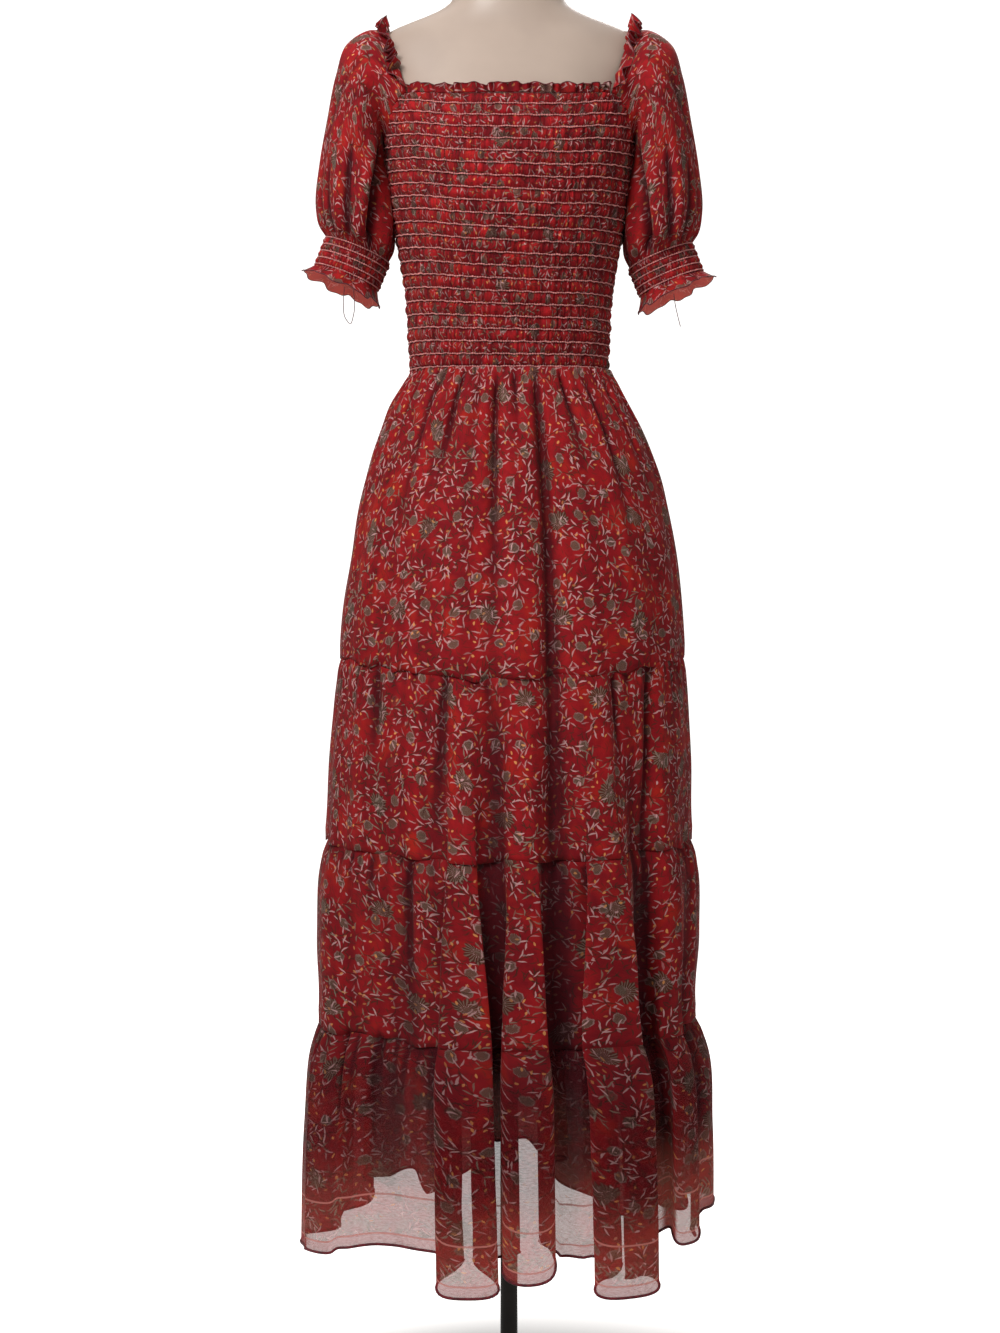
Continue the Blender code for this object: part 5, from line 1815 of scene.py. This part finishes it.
def stand_material():
    """Black powder-coated steel with fine orange-peel grain and rubbed spots."""
    material, wiring, shader = new_material("black_coated_steel")
    place = wiring.node("ShaderNodeTexCoord").outputs["Object"]
    broad = wiring.noise(place, 26.0, 4.0, "3D")
    rubbed = wiring.soft(broad, 0.35, 0.75)
    colour = wiring.mix(rubbed, (0.013, 0.011, 0.009, 1.0), (0.026, 0.021, 0.017, 1.0))
    rough = wiring.plus(0.30, wiring.times(broad, 0.25))
    peel = wiring.noise(place, 900.0, 2.0, "3D")
    bump = wiring.made("ShaderNodeBump", {"Height": peel, "Strength": 0.15, "Distance": 0.0004})
    wiring.fill(shader, {"Base Color": colour, "Roughness": rough, "Normal": bump, "Metallic": 0.5})
    return material


def floor_material():
    """Pale floor that burns out to white away from the stand, for the camera alone."""
    material, wiring, shader = new_material("pale_floor")
    place = wiring.node("ShaderNodeTexCoord").outputs["Object"]
    far = wiring.made("ShaderNodeVectorMath", {0: place}, output=1, operation="LENGTH")
    seen = wiring.node("ShaderNodeLightPath").outputs["Is Camera Ray"]
    strength = wiring.times(wiring.soft(far, 0.22, 0.62), bpy.context.scene.dress_stage.white)
    wiring.fill(shader, {
        "Base Color": (0.80, 0.79, 0.78, 1.0), "Roughness": 0.6,
        "Emission Color": (1.0, 0.98, 0.96, 1.0), "Emission Strength": wiring.times(strength, seen)})
    return material


# One operator for each group of pieces


class DRESS_OT_form(Operator):
    """Makes the form's torso and gives the cap its finish"""

    bl_idname = "dress.form"
    bl_label = "Form"

    def execute(self, context):
        angles = np.arange(FORM_COLUMNS) * 360.0 / FORM_COLUMNS
        heights = np.linspace(FIGURE[0].z, FIGURE[-1].z, FORM_LINES)[:, None]
        grid = figure_point(angles[None, :], heights)
        material = form_material()
        torso = closed_lump("form_torso", grid, material)
        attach(torso, "root")
        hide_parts("form_body")
        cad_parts["form_neck_cap"].data.materials[0] = material
        return {"FINISHED"}


class DRESS_OT_stand(Operator):
    """Gives the pole and the base plate their finish"""

    bl_idname = "dress.stand"
    bl_label = "Stand"

    def execute(self, context):
        material = stand_material()
        for node in ("stand_pole", "stand_base"):
            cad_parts[node].data.materials[0] = material
        return {"FINISHED"}


class DRESS_OT_bodice(Operator):
    """Makes the shirred bodice"""

    bl_idname = "dress.bodice"
    bl_label = "Bodice"

    def execute(self, context):
        make_bodice(True)
        make_bodice(False)
        return {"FINISHED"}


class DRESS_OT_headers(Operator):
    """Makes the gathered headers of the neckline"""

    bl_idname = "dress.headers"
    bl_label = "Neck headers"

    def execute(self, context):
        for header in HEADERS:
            make_header(header)
        return {"FINISHED"}


class DRESS_OT_sleeves(Operator):
    """Makes the puff sleeves with their bands and frills"""

    bl_idname = "dress.sleeves"
    bl_label = "Sleeves"

    def execute(self, context):
        for side in (1.0, -1.0):
            make_sleeve(side)
            make_cuff(side)
            make_cuff_frill(side)
        return {"FINISHED"}


class DRESS_OT_skirt(Operator):
    """Makes the four gathered tiers of the skirt"""

    bl_idname = "dress.skirt"
    bl_label = "Skirt"

    def execute(self, context):
        for number in range(len(SEAMS)):
            make_tier(number, True)
            make_tier(number, False)
        return {"FINISHED"}


class DRESS_OT_shirring(Operator):
    """Sews the rows of shirring thread"""

    bl_idname = "dress.shirring"
    bl_label = "Shirring thread"

    def execute(self, context):
        smock = context.scene.dress_smock
        thread = sewn_material("shirring_thread", smock.thread_colour,
                               [channel * 0.7 for channel in smock.thread_colour], 0.01)
        for front in (True, False):
            start = 180.0 if front else 0.0
            angles = np.linspace(start + 0.4, start + 179.6, THREAD_POINTS)
            lines = []
            for row in range(1, SMOCK_ROWS + 1):
                z = smock_height(2.0 * row - 1e-6, angles)
                z = z + 0.0005 * soft_noise(700 + row, angles, 3.0)
                inside = z < bodice_top(angles) - 0.0015
                points = figure_point(angles, z, form_gap(z) + smock.base + smock.thread * 2.0)
                lines.append(points[inside])
            name = f"shirring_{face_word(front)}"
            sewn_piece(name, lines, stitch_tree(), thread, Stitch=smock.stitch, Radius=smock.thread, Seed=4)
        share = np.arange(CUFF_THREAD_POINTS) / CUFF_THREAD_POINTS
        for side in (1.0, -1.0):
            lines = []
            for row in range(CUFF_ROWS + 1):
                along = CUFF_LENGTH * row / CUFF_ROWS
                lines.append(cuff_point(along, smock.base * 0.9 + smock.thread * 1.6, share, side))
            sewn_piece(f"cuff_shirring_{hand_word(side)}", lines, stitch_tree(), thread, True,
                       Stitch=smock.stitch, Radius=smock.thread, Seed=9)
        return {"FINISHED"}


# Two loose thread ends at the frills of the sleeves: where each goes, and how it ends
LooseThread = namedtuple("LooseThread", "name far_end points")
LOOSE_THREADS = [
    LooseThread("loose_thread_right", "object", [
        (-0.1890, -0.0560, 1.3060), (-0.1900, -0.0575, 1.2900), (-0.1875, -0.0580, 1.2690),
        (-0.1825, -0.0580, 1.2630), (-0.1785, -0.0575, 1.2740), (-0.1785, -0.0555, 1.3035)]),
    LooseThread("loose_thread_left", "bare", [
        (0.1890, -0.0560, 1.2980), (0.1905, -0.0575, 1.2860), (0.1930, -0.0580, 1.2740),
        (0.1965, -0.0580, 1.2600)]),
]


class DRESS_OT_threads(Operator):
    """Hangs the two loose thread ends at the sleeves' frills"""

    bl_idname = "dress.threads"
    bl_label = "Loose threads"

    def execute(self, context):
        dark = sewn_material("loose_thread", (0.120, 0.020, 0.022), (0.050, 0.010, 0.012), 0.004)
        for thread in LOOSE_THREADS:
            points = np.array(thread.points)
            run = np.concatenate([[0.0], np.cumsum(np.linalg.norm(np.diff(points, axis=0), axis=1))])
            way = soft_curve(run, points, np.linspace(0.0, run[-1], 40))
            data = bpy.data.curves.new(thread.name, "CURVE")
            data.dimensions = "3D"
            line = data.splines.new("POLY")
            line.points.add(len(way) - 1)
            for place, point in zip(line.points, way):
                place.co = (*point, 1.0)
            data.bevel_depth = 0.00045
            data.bevel_resolution = 2
            data.use_fill_caps = True
            data.materials.append(dark)
            thing = placed(thread.name, data)
            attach(thing, "root")
        return {"FINISHED"}


class DRESS_OT_edges(Operator):
    """Rolls the hem and the edges of the frills"""

    bl_idname = "dress.edges"
    bl_label = "Rolled edges"

    def execute(self, context):
        skirt = context.scene.dress_skirt
        rolled = sewn_material("rolled_edge_cloth", (0.190, 0.014, 0.022), (0.080, 0.008, 0.013), 0.006)
        last = len(SEAMS) - 1
        for front in (True, False):
            edge = tier_grid(last, front)[0][-1]
            name = f"rolled_hem_{face_word(front)}"
            sewn_piece(name, [edge], roll_tree(), rolled, Radius=skirt.roll, Sides=7)
        for side in (1.0, -1.0):
            edge = cuff_frill_grid(side)[0][-1]
            sewn_piece(f"rolled_cuff_edge_{hand_word(side)}", [edge], roll_tree(), rolled, True,
                       Radius=skirt.frill_roll, Sides=6)
        for header in HEADERS:
            edge = header_grid(header)[0][0]
            sewn_piece(f"rolled_{header.name}_edge", [edge], roll_tree(), rolled,
                       Radius=skirt.frill_roll * 0.8, Sides=6)
        return {"FINISHED"}


def area_light(name, place, aim, size, power):
    """A large soft light that shines at a point."""
    data = bpy.data.lights.new(name, "AREA")
    data.shape = "SQUARE"
    data.size = size
    data.energy = power
    lamp = placed(name, data)
    lamp.location = place
    towards = Vector(aim) - Vector(place)
    lamp.rotation_euler = towards.to_track_quat("-Z", "Y").to_euler()


class DRESS_OT_stage(Operator):
    """Sets up the floor, the lights and the camera"""

    bl_idname = "dress.stage"
    bl_label = "Stage"

    def execute(self, context):
        stage = context.scene.dress_stage
        mesh = bmesh.new()
        bmesh.ops.create_circle(mesh, cap_ends=True, segments=96, radius=4.5)
        data = bpy.data.meshes.new("floor")
        mesh.to_mesh(data)
        mesh.free()
        data.materials.append(floor_material())
        floor = placed("floor", data)
        middle = (0.0, 0.0, 0.90)
        area_light("key_light", (-1.0, -1.6, 2.6), (0.0, 0.0, 1.25), 1.1, stage.key)
        area_light("fill_light", (2.3, -2.4, 1.7), middle, 2.2, stage.fill)
        area_light("back_light", (0.5, 2.3, 3.1), middle, 1.2, stage.back)
        area_light("top_light", (0.0, 0.4, 3.4), middle, 2.0, stage.top)
        world = bpy.data.worlds.new("studio")
        world.use_nodes = True
        context.scene.world = world
        wiring = Wiring(world.node_tree)
        background = world.node_tree.nodes["Background"]
        seen = wiring.node("ShaderNodeLightPath").outputs["Is Camera Ray"]
        level = wiring.plus(stage.room, wiring.times(seen, stage.white - stage.room))
        background.inputs["Color"].default_value = (1.0, 0.985, 0.97, 1.0)
        wiring.feed(background.inputs["Strength"], level)
        lens = bpy.data.cameras.new("photo_camera")
        lens.sensor_fit = "VERTICAL"
        lens.sensor_height = 36.0
        lens.lens = lens.sensor_height * stage.distance / stage.frame_height
        lens.clip_start = 0.05
        camera = placed("photo_camera", lens)
        camera.location = (stage.aside, -stage.distance, stage.eye)
        camera.rotation_euler = (math.radians(90.0), 0.0, 0.0)
        context.scene.camera = camera
        context.scene.view_settings.view_transform = "Standard"
        return {"FINISHED"}


class DRESS_PT_panel(Panel):
    """Lists the operators of the dress"""

    bl_idname = "DRESS_PT_panel"
    bl_label = "Dress"
    bl_space_type = "VIEW_3D"
    bl_region_type = "UI"
    bl_category = "Dress"

    def draw(self, context):
        for operator in OPERATORS:
            self.layout.operator(operator.bl_idname)


SETTINGS = {
    "dress_chiffon": ChiffonSettings,
    "dress_smock": SmockSettings,
    "dress_skirt": SkirtSettings,
    "dress_stage": StageSettings,
}
OPERATORS = (
    DRESS_OT_form,
    DRESS_OT_stand,
    DRESS_OT_bodice,
    DRESS_OT_headers,
    DRESS_OT_sleeves,
    DRESS_OT_skirt,
    DRESS_OT_shirring,
    DRESS_OT_threads,
    DRESS_OT_edges,
    DRESS_OT_stage,
)


def register():
    """Registers the classes and puts the settings on the scene."""
    for made in (*SETTINGS.values(), *OPERATORS, DRESS_PT_panel):
        bpy.utils.register_class(made)
    for name, made in SETTINGS.items():
        setattr(bpy.types.Scene, name, PointerProperty(type=made))


def unregister():
    """Takes the settings off the scene and unregisters the classes."""
    for name in SETTINGS:
        delattr(bpy.types.Scene, name)
    for made in reversed((*SETTINGS.values(), *OPERATORS, DRESS_PT_panel)):
        bpy.utils.unregister_class(made)


def main():
    """Makes everything."""
    register()
    bpy.ops.dress.form()
    bpy.ops.dress.stand()
    bpy.ops.dress.bodice()
    bpy.ops.dress.headers()
    bpy.ops.dress.sleeves()
    bpy.ops.dress.skirt()
    bpy.ops.dress.shirring()
    bpy.ops.dress.threads()
    bpy.ops.dress.edges()
    bpy.ops.dress.stage()
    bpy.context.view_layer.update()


if __name__ == "__main__":
    main()
